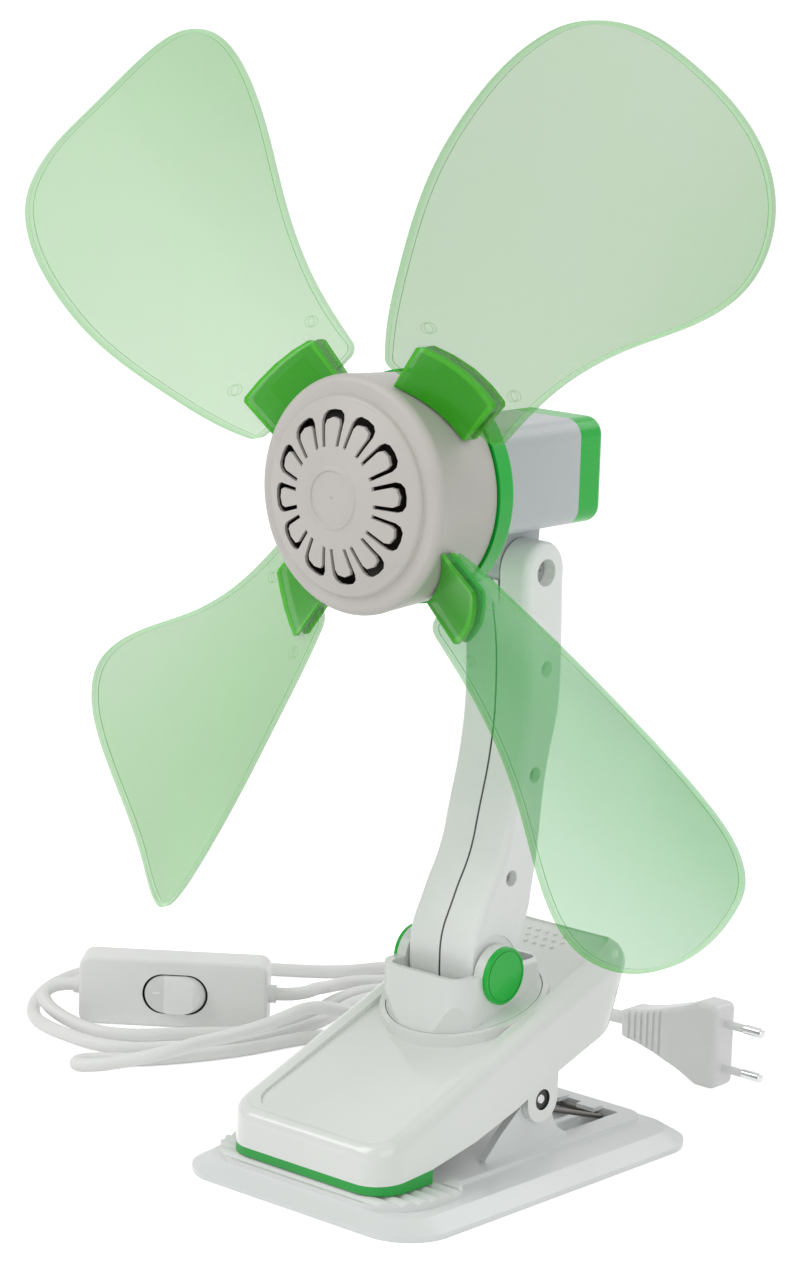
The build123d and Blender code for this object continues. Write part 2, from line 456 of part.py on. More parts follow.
def make_arm():
    """Both halves of the clamshell arm."""
    cut = extrude(Plane.YZ.offset(-ARM_X + ARM_WALL) * arm_face(ARM_WALL), 2 * (ARM_X - ARM_WALL)) & box(-30, 30, -10, 60, 90.0, 206.0)
    cut = cut + cyl_x(KN_R + GAP, LUGH_X0 - GAP, LUGH_X1 + GAP, KN_Y, KN_Z) + box(LUGH_X0 - GAP, LUGH_X1 + GAP, KN_Y - 20, KN_Y + 20, KN_Z, KN_Z + 20)
    cut = cut + cyl_x(TILT_R, -20, 20, KN_Y, KN_Z) + cyl_x(5.2, 8.5, 20, KN_Y, KN_Z) + cyl_x(5.2, -20, -13.2, KN_Y, KN_Z) + cyl_x(3.0 + FIT, -20, 20, PIV_Y, PIV_Z)
    cut = cut + cyl_x(14.4, ARM_X - 0.8, 20.0, PIV_Y, PIV_Z) + cyl_x(14.4, -20.0, -ARM_X + 0.8, PIV_Y, PIV_Z)      # relief beside the ears
    posts = [(cyl_x(3.6, -ARM_X + 1.0, ARM_X - 1.0, y, z), cyl_x(1.5, -ARM_X + 3.0, ARM_X - 5.0, y, z) + cyl_x(3.1, ARM_X - 5.0, ARM_X + 1, y, z))
             for y, z in ARM_SCREWS]
    halves = []
    for s in (1, -1):
        h = extrude(Plane.YZ * arm_face(), s * ARM_X)
        h = fillet(h.edges().filter_by(Axis.X).filter_by(lambda e: abs(e.center().Z - ARM_HEEL[1]) < 0.1 or abs(e.center().Z - ARM_REAR[-1][1]) < 0.1), 3.0)
        h = fillet([e for e in h.edges() if abs(abs(e.center().X) - ARM_X) < 0.01], ARM_EDGE)
        h = chamfer([e for e in h.edges() if abs(e.center().X) < 0.01], ARM_SEAM)
        h = h - cut
        side = box(0, 30, -40, 90, 40, 260) if s > 0 else box(-30, 0, -40, 90, 40, 260)
        for post, bore in posts:                # screw posts across the cavity
            h = h + (post & side) - bore
        halves.append(one(h))
    return halves


def make_arm_screws():
    out = []
    for y, z in ARM_SCREWS:
        s = cyl_x(1.5, -ARM_X + 4.0, ARM_X - 5.0, y, z) + cyl_x(2.9, ARM_X - 5.0, ARM_X - 3.4, y, z) - (Pos(ARM_X - 3.4, y, z) * Box(1.2, 4.0, 0.7))
        out.append(one(s))
    return out


def make_tilt_bolt():
    b = cyl_x(TILT_R, -16.0, 8.5, KN_Y, KN_Z) + cyl_x(4.6, 8.5, 11.2, KN_Y, KN_Z)
    return one(b - (Pos(11.2, KN_Y, KN_Z) * Box(2.4, 6.4, 1.2)) - (Pos(11.2, KN_Y, KN_Z) * Box(2.4, 1.2, 6.4)))


def make_tilt_nut():
    return one(hex_x(7.6, -16.0, -13.2, KN_Y, KN_Z) - cyl_x(TILT_R, -20, 0, KN_Y, KN_Z))


# =============================== head =====================================================
def hous_prism(w, r, y0, y1):
    """Rounded square bar along the fan's axis."""
    sk = Plane.XZ.offset(-y0) * (Pos(0, AX_Z) * RectangleRounded(w, w, r))
    return extrude(sk, -(y1 - y0))


def make_housing():
    """Motor box with the front bearing wall and the tilt lug."""
    body = hous_prism(HOUS_W, 7.0, HOUS_F, HOUS_SEAM)
    body = body - hous_prism(HOUS_W - 4.8, 4.8, HOUS_F + 2.4, HOUS_SEAM + 1)
    body = body + (cyl_y(8.5, HOUS_F + 2.0, HOUS_F + 7.0))
    lug = cyl_x(KN_R - 0.2, LUGH_X0, LUGH_X1, KN_Y, KN_Z) + prism_x([(KN_Y - 11.0, KN_Z + 2.0), (KN_Y - 13.0, AX_Z - HOUS_W / 2 + 1.2), (KN_Y + 11.6, AX_Z - HOUS_W / 2 + 1.2), (KN_Y + 10.6, KN_Z + 2.0)], LUGH_X0, LUGH_X1)
    body = body + lug
    body = body - cyl_x(TILT_R + FIT, -20, 20, KN_Y, KN_Z)
    body = body - cyl_y(BRG_R, HOUS_F - 5, HOUS_F + 8)
    for sx in (-1, 1):                  # posts of the cap's screws
        x, z = sx * POST_X, AX_Z + sx * POST_X
        body = body + (cyl_y(POST_R, HOUS_SEAM - 10, HOUS_SEAM, x, z) & hous_prism(HOUS_W, 7.0, HOUS_F, HOUS_SEAM)) - cyl_y(1.2, HOUS_SEAM - 9, HOUS_SEAM + 1, x, z)
    return one(body)


def make_rear_cap():
    """Green cap closing the motor box."""
    c = hous_prism(HOUS_W, 7.0, HOUS_SEAM, HOUS_B)
    c = fillet(c.faces().sort_by(Axis.Y)[-1].edges(), 3.0)
    c = c - hous_prism(HOUS_W - 4.8, 4.8, HOUS_SEAM - 1, HOUS_B - 2.4)
    for sx in (-1, 1):
        x, z = sx * POST_X, AX_Z + sx * POST_X
        c = c + (cyl_y(POST_R, HOUS_SEAM, HOUS_B - 1.0, x, z) & hous_prism(HOUS_W - 2, 6.0, HOUS_SEAM, HOUS_B)) - cyl_y(1.5, HOUS_SEAM - 1, HOUS_B + 1, x, z) - cyl_y(2.9, HOUS_B - 3.0, HOUS_B + 1, x, z)
    return one(c)


def make_housing_screws():
    out = []
    for sx in (-1, 1):
        x, z = sx * POST_X, AX_Z + sx * POST_X
        s = cyl_y(1.2, HOUS_SEAM - 8, HOUS_B - 3.0, x, z) + cyl_y(2.7, HOUS_B - 3.0, HOUS_B - 1.2, x, z)
        out.append(one(s - (Pos(x, HOUS_B - 1.2, z) * Box(3.8, 1.4, 0.7))))
    return out


def make_motor_ring():
    """Green dish behind the drum."""
    r = cyl_y(RINGH_R, RINGH_F, HOUS_F) - cyl_y(RINGH_R - 2.2, RINGH_F - 1, HOUS_F - 2.2) - cyl_y(9.0, RINGH_F, HOUS_F + 1)
    back = r.faces().filter_by(GeomType.PLANE).sort_by(Axis.Y)[-1]
    r = fillet(back.outer_wire().edges(), 1.2)
    return one(r)


def make_stator():
    """Laminated stack with four poles' bore."""
    s = hous_prism(34.6, 4.0, 4.0, 24.0) - cyl_y(ROT_R + GAP + 0.1, 0, 30)
    for k in range(4):
        a = math.radians(90 * k + 45)
        s = s - cyl_y(3.0, 0, 30, 13.0 * math.cos(a), AX_Z + 13.0 * math.sin(a))
    return one(s)


def make_coils():
    """Wound end turns on both faces of the stack."""
    out = []
    for y0, y1 in ((-5.0, 4.0), (24.0, 33.0)):
        c = cyl_y(16.0, y0, y1) - cyl_y(10.6, y0 - 1, y1 + 1)
        c = fillet(c.edges().filter_by(GeomType.CIRCLE), 1.6)
        out.append(one(c))
    return out


def make_motor_bracket():
    """Rear bearing plate."""
    b = hous_prism(34.8, 4.2, 34.6, 37.2) + cyl_y(8.0, 37.0, 41.0)
    b = b - cyl_y(BRG_R, 30, 45)
    for sx in (-1, 1):
        b = b - cyl_y(POST_R + 0.6, 30, 45, sx * POST_X, AX_Z + sx * POST_X)
    return one(b)


def make_bearing(y0, y1):
    return one(cyl_y(BRG_R, y0, y1) - cyl_y(SHAFT_R + FIT, y0 - 1, y1 + 1))


# =============================== rotor ====================================================
def make_shaft():
    s = cyl_y(SHAFT_R, -63.4, 42.6)
    return one(chamfer(s.edges().filter_by(GeomType.CIRCLE), 0.4))


def make_core():
    c = cyl_y(ROT_R, 4.0, 24.0) + cyl_y(ROT_R - 2.4, 1.8, 26.2) - cyl_y(SHAFT_R, 0, 30)
    return one(c)


def rev(pts):
    """Profile of (radius, y) points turned round the fan's axis."""
    w = Polyline(*[Vector(r, y, 0) for r, y in pts], close=True)
    return Pos(0, 0, AX_Z) * revolve(make_face(w), Axis.Y)


def blade_y(u, w):
    """Axial position of the blade's middle surface."""
    U, W = u / 100.0, w / 100.0
    return BLADE_C0 + BLADE_CW * W + BLADE_CU * U + BLADE_CWW * W * W + BLADE_CUW * U * W + BLADE_CUU * U * U


def place(k, shape):
    """Turn a shape made along +X to the direction of blade k."""
    return Pos(0, 0, AX_Z) * Rot(0, -(BLADE_AZ + 90.0 * k), 0) * shape


def make_drum():
    """Drum with front web, boss and four prongs with their collars."""
    prof = [(SHAFT_R, -56.8), (DRUM_RF, -56.8), (DRUM_RB, DRUM_B), (DRUM_RB - 2.2, DRUM_B), (DRUM_RF - 2.4, -54.4), (8.0, -54.4), (8.0, -34.0), (SHAFT_R, -34.0)]
    d = rev(prof)
    d = d + (cyl_y(7.0, -60.2, -56.0) - cyl_y(SHAFT_R, -61, -50))
    for k in range(4):
        pr = Pos(PRONG_X, PRONG_Y, 0) * Rot(PRONG_A, 0, 0) * Box(PRONG_L, PRONG_T, PRONG_W)
        d = d + place(k, pr - Pos(0, PRONG_Y, 0) * Rot(-90, 0, 0) * Cylinder(39.8, 60.0))
    return one(d)


def make_hub_cap():
    """Front cap: rounded rim, stepped disc, twelve arched vents, centre ring."""
    def arc(p, q, m):
        return ThreePointArc(Vector(*p, 0), Vector(*q, 0), Vector(*m, 0))

    def run(*pts):
        return Polyline(*[Vector(r, y, 0) for r, y in pts])

    (r0, y0), (r1, y1) = DOME0, DOME1
    edges = [run((0, y0 - 0.35), (9.6, y0 - 0.1)), run((9.6, y0 - 0.1), (10.0, y0 - 0.7), (10.9, y0 - 0.62), (r0, y0)), arc((r0, y0), (24.0, -66.9), (r1, y1)),
             arc((r1, y1), (35.9, -62.4), (36.2, -61.2)), run((36.2, -61.2), (36.4, -60.9), (39.6, -60.5)), arc((39.6, -60.5), (42.4, -59.3), (43.3, -56.8)),
             run((43.3, -56.8), (41.2, -56.8), (40.6, -58.2), (34.8, -58.8), (33.6, -61.0)), arc((33.6, -61.0), (23.6, -64.8), (11.0, y0 + 2.1)), run((11.0, y0 + 2.1), (0, y0 + 2.0), (0, y0 - 0.35))]
    c = Pos(0, 0, AX_Z) * revolve(make_face(edges), Axis.Y)
    c = c - rev([(0, y0 - 0.8), (1.3, y0 - 0.8), (0, y0 + 0.3)])
    arch = [(18.2, -3.8), (27.4, -5.4), (29.5, -4.9), (30.9, -3.2), (31.3, 0.0), (30.9, 3.2), (29.5, 4.9), (27.4, 5.4), (18.2, 3.8)]
    tongue = [(17.0, -2.2), (25.8, -3.5), (27.6, -2.9), (28.5, 0.0), (27.6, 2.9), (25.8, 3.5), (17.0, 2.2)]
    slot = prism_y(arch, -75, -60) - prism_y(tongue, -76, -59)
    for k in range(SLOT_N):
        c = c - Pos(0, 0, AX_Z) * Rot(0, SLOT_A0 + 360.0 / SLOT_N * k, 0) * slot
    return one(c)


def make_shaft_nut():
    pts = [(4.6 * math.cos(math.radians(60 * k)), AX_Z + 4.6 * math.sin(math.radians(60 * k))) for k in range(6)]
    return one(prism_y(pts, -62.8, -60.2) - cyl_y(SHAFT_R, -70, -50))


def inset_outline(pts, d):
    """Outline moved inward by d."""
    out = []
    n = len(pts)
    for i in range(n):
        a, b = pts[i - 1], pts[(i + 1) % n]
        tx, ty = b[0] - a[0], b[1] - a[1]
        m = math.hypot(tx, ty)
        out.append((pts[i][0] - ty / m * d * OUT_SIGN, pts[i][1] + tx / m * d * OUT_SIGN))
    return out


OUT_SIGN = -1.0


def blade_slab(t0, t1):
    """Blade surface pushed along the axis from t0 to t1."""
    us = [38.0 + 170.0 * i / 8 for i in range(9)]
    ws = [-66.0 + 120.0 * j / 8 for j in range(9)]
    grid = [[Vector(u, blade_y(u, w) + t0, w) for w in ws] for u in us]
    f = Face.make_surface_from_array_of_points(grid)
    return Solid.extrude(f, Vector(0, t1 - t0, 0))


def outline_prism(pts, smooth=True):
    pp = [Vector(u, -120.0, w) for u, w in pts]
    if smooth:
        w = Wire([Spline(*pp), Line(pp[-1], pp[0])])
    else:
        w = Wire(Polyline(*pp, close=True).edges())
    return Solid.extrude(Face(w), Vector(0, 120.0, 0))


def make_blade():
    """Soft blade along +X: thin leaf, thicker bead at its edge, thick root pocket over the prong."""
    corners = lambda solid, r: fillet(solid.edges().filter_by(Axis.Y), r)
    whole = corners(outline_prism(BLADE_OUT), CORNER_R)
    leaf = whole & blade_slab(-BLADE_T / 2, BLADE_T / 2)
    band = whole - corners(outline_prism(inset_outline(BLADE_OUT, BEAD_W)), CORNER_R - BEAD_W)
    bead = band & blade_slab(-BLADE_T / 2 - BEAD_T, BLADE_T / 2 + BEAD_T)
    tab = outline_prism(TAB_OUT, False) & blade_slab(-TAB_T, TAB_T)
    field = outline_prism(inset_outline(TAB_OUT, TAB_RIM), False)
    b = leaf + bead + tab - (field & blade_slab(-TAB_T - 1.0, -TAB_T + TAB_SUNK)) - (field & blade_slab(TAB_T - TAB_SUNK, TAB_T + 1.0))
    b = b - (Pos(0, 0, 0) * Rot(-90, 0, 0) * Pos(0, 0, -120) * Cylinder(ROOT_R, 240.0, align=(Align.CENTER, Align.CENTER, Align.MIN)))
    b = b - Pos(PRONG_X, PRONG_Y, 0) * Rot(PRONG_A, 0, 0) * Box(PRONG_L, PRONG_T, PRONG_W)
    return one(b)


# =============================== lead, switch and plug ====================================
SW_L, SW_D, SW_H = 79.0, 17.0, 29.0    # in-line switch, standing on its long edge
SW_X, SW_Y, SW_TURN = -184.8, 44.8, 37.5
SW_C = SW_H / 2                        # height of the cord's entries
STUB_L, STUB_R = 3.0, 3.8
RK_X, RK_L, RK_H, RK_GAP = 1.0, 27.4, 17.0, 0.45   # rocker: middle, length and height of its recess
RK_Y, RK_DEEP = -4.6, 2.0              # rocker's axis and the recess's floor, from the middle plane
SWP_X, SWP_Z = 31.5, 20.5              # screws of the switch

PL_Y, PL_C = 145.0, 17.4               # plug: middle plane and height of its axis
PL_X0, PL_X1, PL_T = -22.0, 26.5, 13.7
PIN_GAP, PIN_D, PIN_L, SLEEVE_L = 18.6, 4.0, 19.0, 10.0
SLEEVE_R, CORE_R = 1.7, 1.2            # sleeve on the pin, metal inside it

FLOOR = CORD_R + 0.1
HUMP = FLOOR + 2 * CORD_R + 5.0


def sw_point(x, y, z):
    """Point of the switch's own frame in the object's frame."""
    a = math.radians(SW_TURN)
    return (SW_X + x * math.cos(a) - y * math.sin(a), SW_Y + x * math.sin(a) + y * math.cos(a), z)


def fan_route():
    """Centre line of the lead from the base to the switch, through its loops."""
    return [(BASE_X - BASE_W / 2 - 6.0, GLAND_Y, GLAND_Z), (BASE_X - BASE_W / 2 - 19.0, GLAND_Y, GLAND_Z - 0.8), (-94.0, 68.0, FLOOR + 0.3), (-109.0, 78.0, FLOOR),
            (-124.0, 70.0, FLOOR), (-128.8, 53.0, FLOOR), (-131.5, 36.5, FLOOR), (-137.0, 20.5, FLOOR), (-144.0, 5.5, FLOOR),
            (-152.5, -8.5, FLOOR), (-162.0, -18.0, FLOOR), (-168.5, -25.0, FLOOR), (-165.0, -32.5, FLOOR + 0.3), (-155.0, -29.0, 4.4),
            (-144.0, -21.0, 7.4), (-134.5, -12.0, 10.6), (-128.5, 0.5, HUMP), (-126.2, 17.0, HUMP), (-126.0, 34.0, HUMP), (-128.2, 52.0, HUMP),
            (-131.6, 69.0, HUMP), (-132.0, 84.0, HUMP - 3.6), (-126.0, 97.0, 5.6), (-118.0, 109.0, FLOOR), (-119.0, 126.0, FLOOR),
            (-132.0, 136.0, FLOOR), (-145.5, 128.0, FLOOR), (-146.0, 113.0, FLOOR), (-142.0, 99.0, FLOOR), (-137.8, 84.0, FLOOR),
            (-136.0, 68.0, FLOOR), (-136.6, 51.5, FLOOR), (-140.5, 36.0, FLOOR), (-147.5, 21.0, FLOOR), (-156.5, 7.0, FLOOR),
            (-168.0, -3.0, FLOOR), (-181.0, -7.0, FLOOR), (-194.0, -6.6, FLOOR), (-207.0, -5.6, FLOOR), (-221.0, -1.4, FLOOR), (-234.5, 10.0, FLOOR),
            (-246.5, 27.0, FLOOR), (-254.5, 46.0, FLOOR), (-256.0, 66.0, FLOOR), (-247.5, 86.0, FLOOR), (-231.0, 103.0, FLOOR),
            (-211.0, 119.0, FLOOR), (-193.0, 131.5, FLOOR), (-179.5, 144.5, FLOOR), (-173.0, 161.0, FLOOR), (-163.5, 175.5, FLOOR),
            (-148.0, 172.5, FLOOR), (-147.0, 157.5, FLOOR), (-158.5, 147.5, FLOOR), (-165.5, 134.0, FLOOR + 0.8), (-163.0, 118.5, 5.6),
            (-155.5, 106.0, 9.2), (-149.5, 93.0, 12.6), (-144.6, 83.5, 14.2), sw_point(SW_L / 2 + STUB_L + 6.0, 0, SW_C), sw_point(SW_L / 2 + STUB_L, 0, SW_C)]


def plug_route():
    """Centre line of the lead from the switch to the plug."""
    return [sw_point(-SW_L / 2 - STUB_L, 0, SW_C), sw_point(-SW_L / 2 - STUB_L - 7.0, 0, SW_C), (-226.5, 7.6, 11.2), (-219.0, 4.6, 7.2),
            (-208.5, 5.4, 4.0), (-196.0, 4.8, FLOOR), (-184.0, 7.6, FLOOR), (-174.0, 15.5, FLOOR), (-166.5, 27.0, FLOOR), (-157.0, 38.0, FLOOR),
            (-147.6, 49.0, FLOOR), (-143.4, 63.0, FLOOR), (-144.8, 80.0, FLOOR), (-149.5, 96.0, FLOOR), (-154.0, 112.0, FLOOR), (-155.2, 127.0, FLOOR),
            (-149.5, 140.0, FLOOR), (-136.5, 148.0, FLOOR), (-119.0, 150.5, FLOOR), (-100.0, 149.5, FLOOR), (-82.0, 146.5, 4.4),
            (-65.0, PL_Y, 9.4), (-49.0, PL_Y + 0.6, 14.6), (-34.0, PL_Y, PL_C), (PL_X0, PL_Y, PL_C)]


def tube(name, pts):
    """Round lead of straight runs and tangent arcs; prints its radii, length and least gap to itself."""
    v = [Vector(*p) for p in pts]
    runs = [(b - a).length for a, b in zip(v, v[1:])]
    edges, last, radii, samples = [], v[0], [], [v[0]]
    for i in range(1, len(v) - 1):
        d0, d1 = (v[i] - v[i - 1]).normalized(), (v[i + 1] - v[i]).normalized()
        turn = math.acos(max(-1.0, min(1.0, d0.dot(d1))))
        cut = 0.45 * min(runs[i - 1], runs[i])
        radii.append((cut / math.tan(turn / 2), math.degrees(turn), i))
        a, b = v[i] - d0 * cut, v[i] + d1 * cut
        m = (a + b) * 0.5
        h = (b - a).length / 2
        mid = m + (v[i] - m).normalized() * (h * math.tan(turn / 4))
        edges += [Line(last, a), ThreePointArc(a, mid, b)]
        steps = max(2, int((a - last).length / 1.5))
        samples += [last + (a - last) * (k / steps) for k in range(1, steps + 1)]
        arc = edges[-1]
        samples += [arc @ (k / 6) for k in range(1, 7)]
        last = b
    edges.append(Line(last, v[-1]))
    samples.append(v[-1])
    path = Wire(edges)
    solid = sweep(Plane(origin=path @ 0, z_dir=path % 0) * Circle(CORD_R), path=path)
    length = sum(e.length for e in edges)
    run = [0.0]
    for a, b in zip(samples, samples[1:]):
        run.append(run[-1] + (b - a).length)
    gap, where = 1e9, None
    for i in range(len(samples)):
        for j in range(i + 1, len(samples)):
            if run[j] - run[i] > 22.0:
                d = (samples[i] - samples[j]).length
                if d < gap:
                    gap, where = d, (samples[i], samples[j])
    radii.sort()
    print(f"{name}: length {length:.0f} mm, least radii {[(round(r, 1), round(t), i) for r, t, i in radii[:5]]}, runs {min(runs):.1f}..{max(runs):.1f}, "
          f"least gap to itself {gap - 2 * CORD_R:.2f} mm near ({where[0].X:.0f},{where[0].Y:.0f}), volume ratio {solid.volume / (math.pi * CORD_R ** 2 * length):.4f}")
    return solid, samples


def sw(shape):
    """From the switch's own frame to the object's."""
    return Pos(SW_X, SW_Y, 0) * Rot(0, 0, SW_TURN) * shape


def switch_case():
    """Outside of the switch, both halves together."""
    b = Pos(0, 0, SW_C) * Box(SW_L, SW_D, SW_H)
    b = fillet(b.edges().filter_by(Axis.Y), 4.5)
    front = b.faces().sort_by(Axis.Y)
    b = fillet(front[0].edges() + front[-1].edges(), 1.6)
    for sx in (-1, 1):
        x0, x1 = sorted((sx * (SW_L / 2 - 3.0), sx * (SW_L / 2 + STUB_L)))
        b = b + cyl_x(STUB_R, x0, x1, 0, SW_C)
    return b


def make_switch():
    """Front and back shells of the in-line switch."""
    case = switch_case()
    room = Pos(0, 0, SW_C) * Box(SW_L - 4.4, SW_D - 4.4, SW_H - 4.4)
    recess = Pos(RK_X, 0, SW_C) * Rot(90, 0, 0) * extrude(SlotOverall(RK_L, RK_H), 30.0)
    recess = recess & box(-60, 60, -30, -RK_DEEP, 0, 40)
    wall = Pos(RK_X, 0, SW_C) * Rot(90, 0, 0) * extrude(SlotOverall(RK_L + 4.0, RK_H + 4.0), 30.0)
    wall = wall & box(-60, 60, -SW_D / 2 + 1.0, -RK_DEEP + 1.6, 0, 40)
    front = (case & box(-60, 60, -30, 0, -5, 40)) - room + wall - recess
    back = (case & box(-60, 60, 0, 30, -5, 40)) - room
    for sx in (-1, 1):
        post = Pos(sx * SWP_X, 0, SWP_Z) * Rot(90, 0, 0) * Cylinder(3.0, SW_D - 2.0)
        front = front + (post & box(-60, 60, -SW_D / 2 + 1.0, 0, 0, 40)) - (Pos(sx * SWP_X, 0, SWP_Z) * Rot(90, 0, 0) * Cylinder(1.1, 9.0))
        back = back + (post & box(-60, 60, 0, SW_D / 2 - 1.0, 0, 40)) - (Pos(sx * SWP_X, SW_D / 4, SWP_Z) * Rot(90, 0, 0) * Cylinder(1.4, SW_D / 2 + 1)) \
            - (Pos(sx * SWP_X, SW_D / 2 - 1.1, SWP_Z) * Rot(90, 0, 0) * Cylinder(2.6, 2.4))
    ax = Pos(RK_X, RK_Y, SW_C) * Cylinder(1.2, SW_H - 5.0)
    front = front - (Pos(RK_X, RK_Y, SW_C) * Cylinder(1.2 + FIT, RK_H + 3.4))
    return one(sw(front)), one(sw(back))


def make_rocker():
    """Oval rocker, left half pressed in, right half raised, on a short axle."""
    body = Pos(RK_X, 0, SW_C) * Rot(90, 0, 0) * extrude(SlotOverall(RK_L - 2 * RK_GAP, RK_H - 2 * RK_GAP), 30.0)
    r = RK_L / 2 - RK_GAP
    side = [(RK_X - r, -SW_D / 2 - 0.6), (RK_X - r * 0.34, -SW_D / 2 - 0.9), (RK_X + r * 0.62, -SW_D / 2 - 4.2), (RK_X + r, -SW_D / 2 - 3.2),
            (RK_X + r, -RK_DEEP - 3.6), (RK_X + 2.4, -RK_DEEP - 0.6), (RK_X - 2.4, -RK_DEEP - 0.6), (RK_X - r, -RK_DEEP - 2.4)]
    plan_cut = extrude(Pos(0, 0) * make_face(Wire(Polyline(*side, close=True).edges())), SW_H)
    half = SlotOverall(RK_L - 2 * RK_GAP, RK_H - 2 * RK_GAP) & (Pos(RK_L / 2, 0) * Rectangle(RK_L, RK_H))
    body = body & plan_cut & (Pos(RK_X, RK_Y, SW_C) * revolve(Plane.XZ * half, Axis.Z))
    body = body + Pos(RK_X, RK_Y, SW_C) * Cylinder(1.2, RK_H + 3.0)
    body = body - (Pos(RK_X - 7.4, -SW_D / 2 - 0.75, SW_C + 0.6) * Box(3.2, 0.5, 0.7))
    return one(sw(body))


def make_switch_screws():
    out = []
    for sx in (-1, 1):
        y = SW_D / 2 - 2.3
        s = Pos(sx * SWP_X, (y - 3.6) / 2, SWP_Z) * Rot(90, 0, 0) * Cylinder(1.1, y + 3.6)
        s = s + Pos(sx * SWP_X, y + 0.6, SWP_Z) * Rot(90, 0, 0) * Cylinder(2.4, 1.2)
        out.append(one(sw(s - Pos(sx * SWP_X, y + 1.2, SWP_Z) * Box(3.4, 1.0, 0.7))))
    return out


def make_plug_body():
    """Flat two-pin plug on its narrow edge: broad face, waisted ribbed grip."""
    z = PL_C
    half = [(PL_X1, z), (PL_X1 - 1.5, z), (PL_X1 - 10.0, z), (PL_X1 - 19.0, 13.4), (-6.0, 9.0), (-14.0, 7.0), (PL_X0 + 2, 6.2), (PL_X0, 5.2)]
    top = [(x, z + h) for x, h in half]
    low = [(x, z - h) for x, h in reversed(half)]
    b = prism_y(top + low, PL_Y - PL_T / 2, PL_Y + PL_T / 2)
    b = fillet(b.edges().filter_by(Axis.Y).filter_by(lambda e: e.center().X > PL_X1 - 12), 3.0)
    faces = b.faces().sort_by(Axis.Y)
    b = fillet(faces[0].edges() + faces[-1].edges(), 2.4)
    for k in range(6):                  # ribs of the grip
        x = PL_X0 + 5.0 + 3.1 * k
        b = b - (Pos(x, PL_Y, z) * (Box(1.3, 60, 60) - Box(1.5, PL_T - 1.4, 2 * (5.0 + 0.42 * (x - PL_X0)))))
    for sz in (-1, 1):
        b = b - cyl_x(SLEEVE_R, PL_X1 - 8.0, PL_X1 + 1, PL_Y, z + sz * PIN_GAP / 2)
    return one(b)


def make_plug_pins():
    out = []
    for sz in (-1, 1):
        z = PL_C + sz * PIN_GAP / 2
        p = cyl_x(CORE_R, PL_X1 - 8.0, PL_X1 + PIN_L, PL_Y, z) + cyl_x(SLEEVE_R, PL_X1 - 8.0, PL_X1 - 0.01, PL_Y, z) + cyl_x(PIN_D / 2, PL_X1 + SLEEVE_L, PL_X1 + PIN_L, PL_Y, z)
        p = fillet(p.edges().filter_by(GeomType.CIRCLE).sort_by(Axis.X)[-1:], 1.4)
        out.append(one(p))
    return out


def make_plug_sleeves():
    """Insulating sleeve at the root of each pin."""
    return [one(cyl_x(SLEEVE_R, PL_X1, PL_X1 + SLEEVE_L, PL_Y, PL_C + sz * PIN_GAP / 2) - cyl_x(CORE_R, PL_X1 - 1, PL_X1 + 30, PL_Y, PL_C + sz * PIN_GAP / 2))
            for sz in (-1, 1)]


# =============================== writing ==================================================
def write(name, shape):
    """One STEP file per sub-part."""
    if isinstance(shape, list):
        shape = Compound(children=[one(s) for s in shape])
    shape.label = name
    export_step(shape, "parts/" + name + ".step")
    print(f"{name:20s} solids {len(shape.solids())} volume {shape.volume / 1000:.2f} cm3")


def main():
    os.makedirs("parts", exist_ok=True)
    write("lower_jaw", make_lower_jaw())
    write("lower_grip_pad", make_lower_pad())
    write("hinge_pin", make_hinge_pin())
    write("pin_retainers", make_pin_retainers())
    write("clip_spring", make_spring())
    write("cord_gland", make_gland())
    write("upper_jaw", make_upper_jaw())
    write("upper_grip_pad", make_upper_pad())
    write("turret", make_turret())
    write("turret_washer", make_washer())
    write("turret_screws", make_turret_screws())
    write("turret_cap_right", make_pivot_cap(1))
    write("turret_cap_left", make_pivot_cap(-1))
    write("arm_pivot_bolt", make_pivot_bolt())
    write("arm_pivot_nut", make_pivot_nut())
    right, left = make_arm()
    write("arm_right_shell", right)
    write("arm_left_shell", left)
    write("arm_screws", make_arm_screws())
    write("tilt_bolt", make_tilt_bolt())
    write("tilt_nut", make_tilt_nut())
    write("motor_housing", make_housing())
    write("housing_rear_cap", make_rear_cap())
    write("housing_screws", make_housing_screws())
    write("motor_ring", make_motor_ring())
    write("motor_stator", make_stator())
    write("motor_coils", make_coils())
    write("motor_bracket", make_motor_bracket())
    write("bearing_front", make_bearing(HOUS_F - 0.5, HOUS_F + 7.0))
    write("bearing_rear", make_bearing(35.0, 41.0))
    write("motor_shaft", make_shaft())
    write("motor_core", make_core())
    write("rotor_drum", make_drum())
    write("hub_cap", make_hub_cap())
    write("shaft_nut", make_shaft_nut())
    blade = make_blade()
    for k in range(4):
        write(f"blade_{k + 1}", one(place(k, blade)))
    front, back = make_switch()
    write("switch_front_shell", front)
    write("switch_back_shell", back)
    write("switch_rocker", make_rocker())
    write("switch_screws", make_switch_screws())
    write("plug_body", make_plug_body())
    write("plug_pins", make_plug_pins())
    write("plug_sleeves", make_plug_sleeves())
    fan, pts_a = tube("cord_fan", fan_route())
    plug, pts_b = tube("cord_plug", plug_route())
    gap = min((a - b).length for a in pts_a for b in pts_b)
    print(f"least gap between the two leads {gap - 2 * CORD_R:.2f} mm")
    write("cord_fan", fan)
    write("cord_plug", plug)


if __name__ == "__main__":
    main()
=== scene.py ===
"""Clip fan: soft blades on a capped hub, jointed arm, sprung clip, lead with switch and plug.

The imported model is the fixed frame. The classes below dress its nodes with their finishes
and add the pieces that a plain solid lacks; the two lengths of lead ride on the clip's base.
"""

from __future__ import annotations

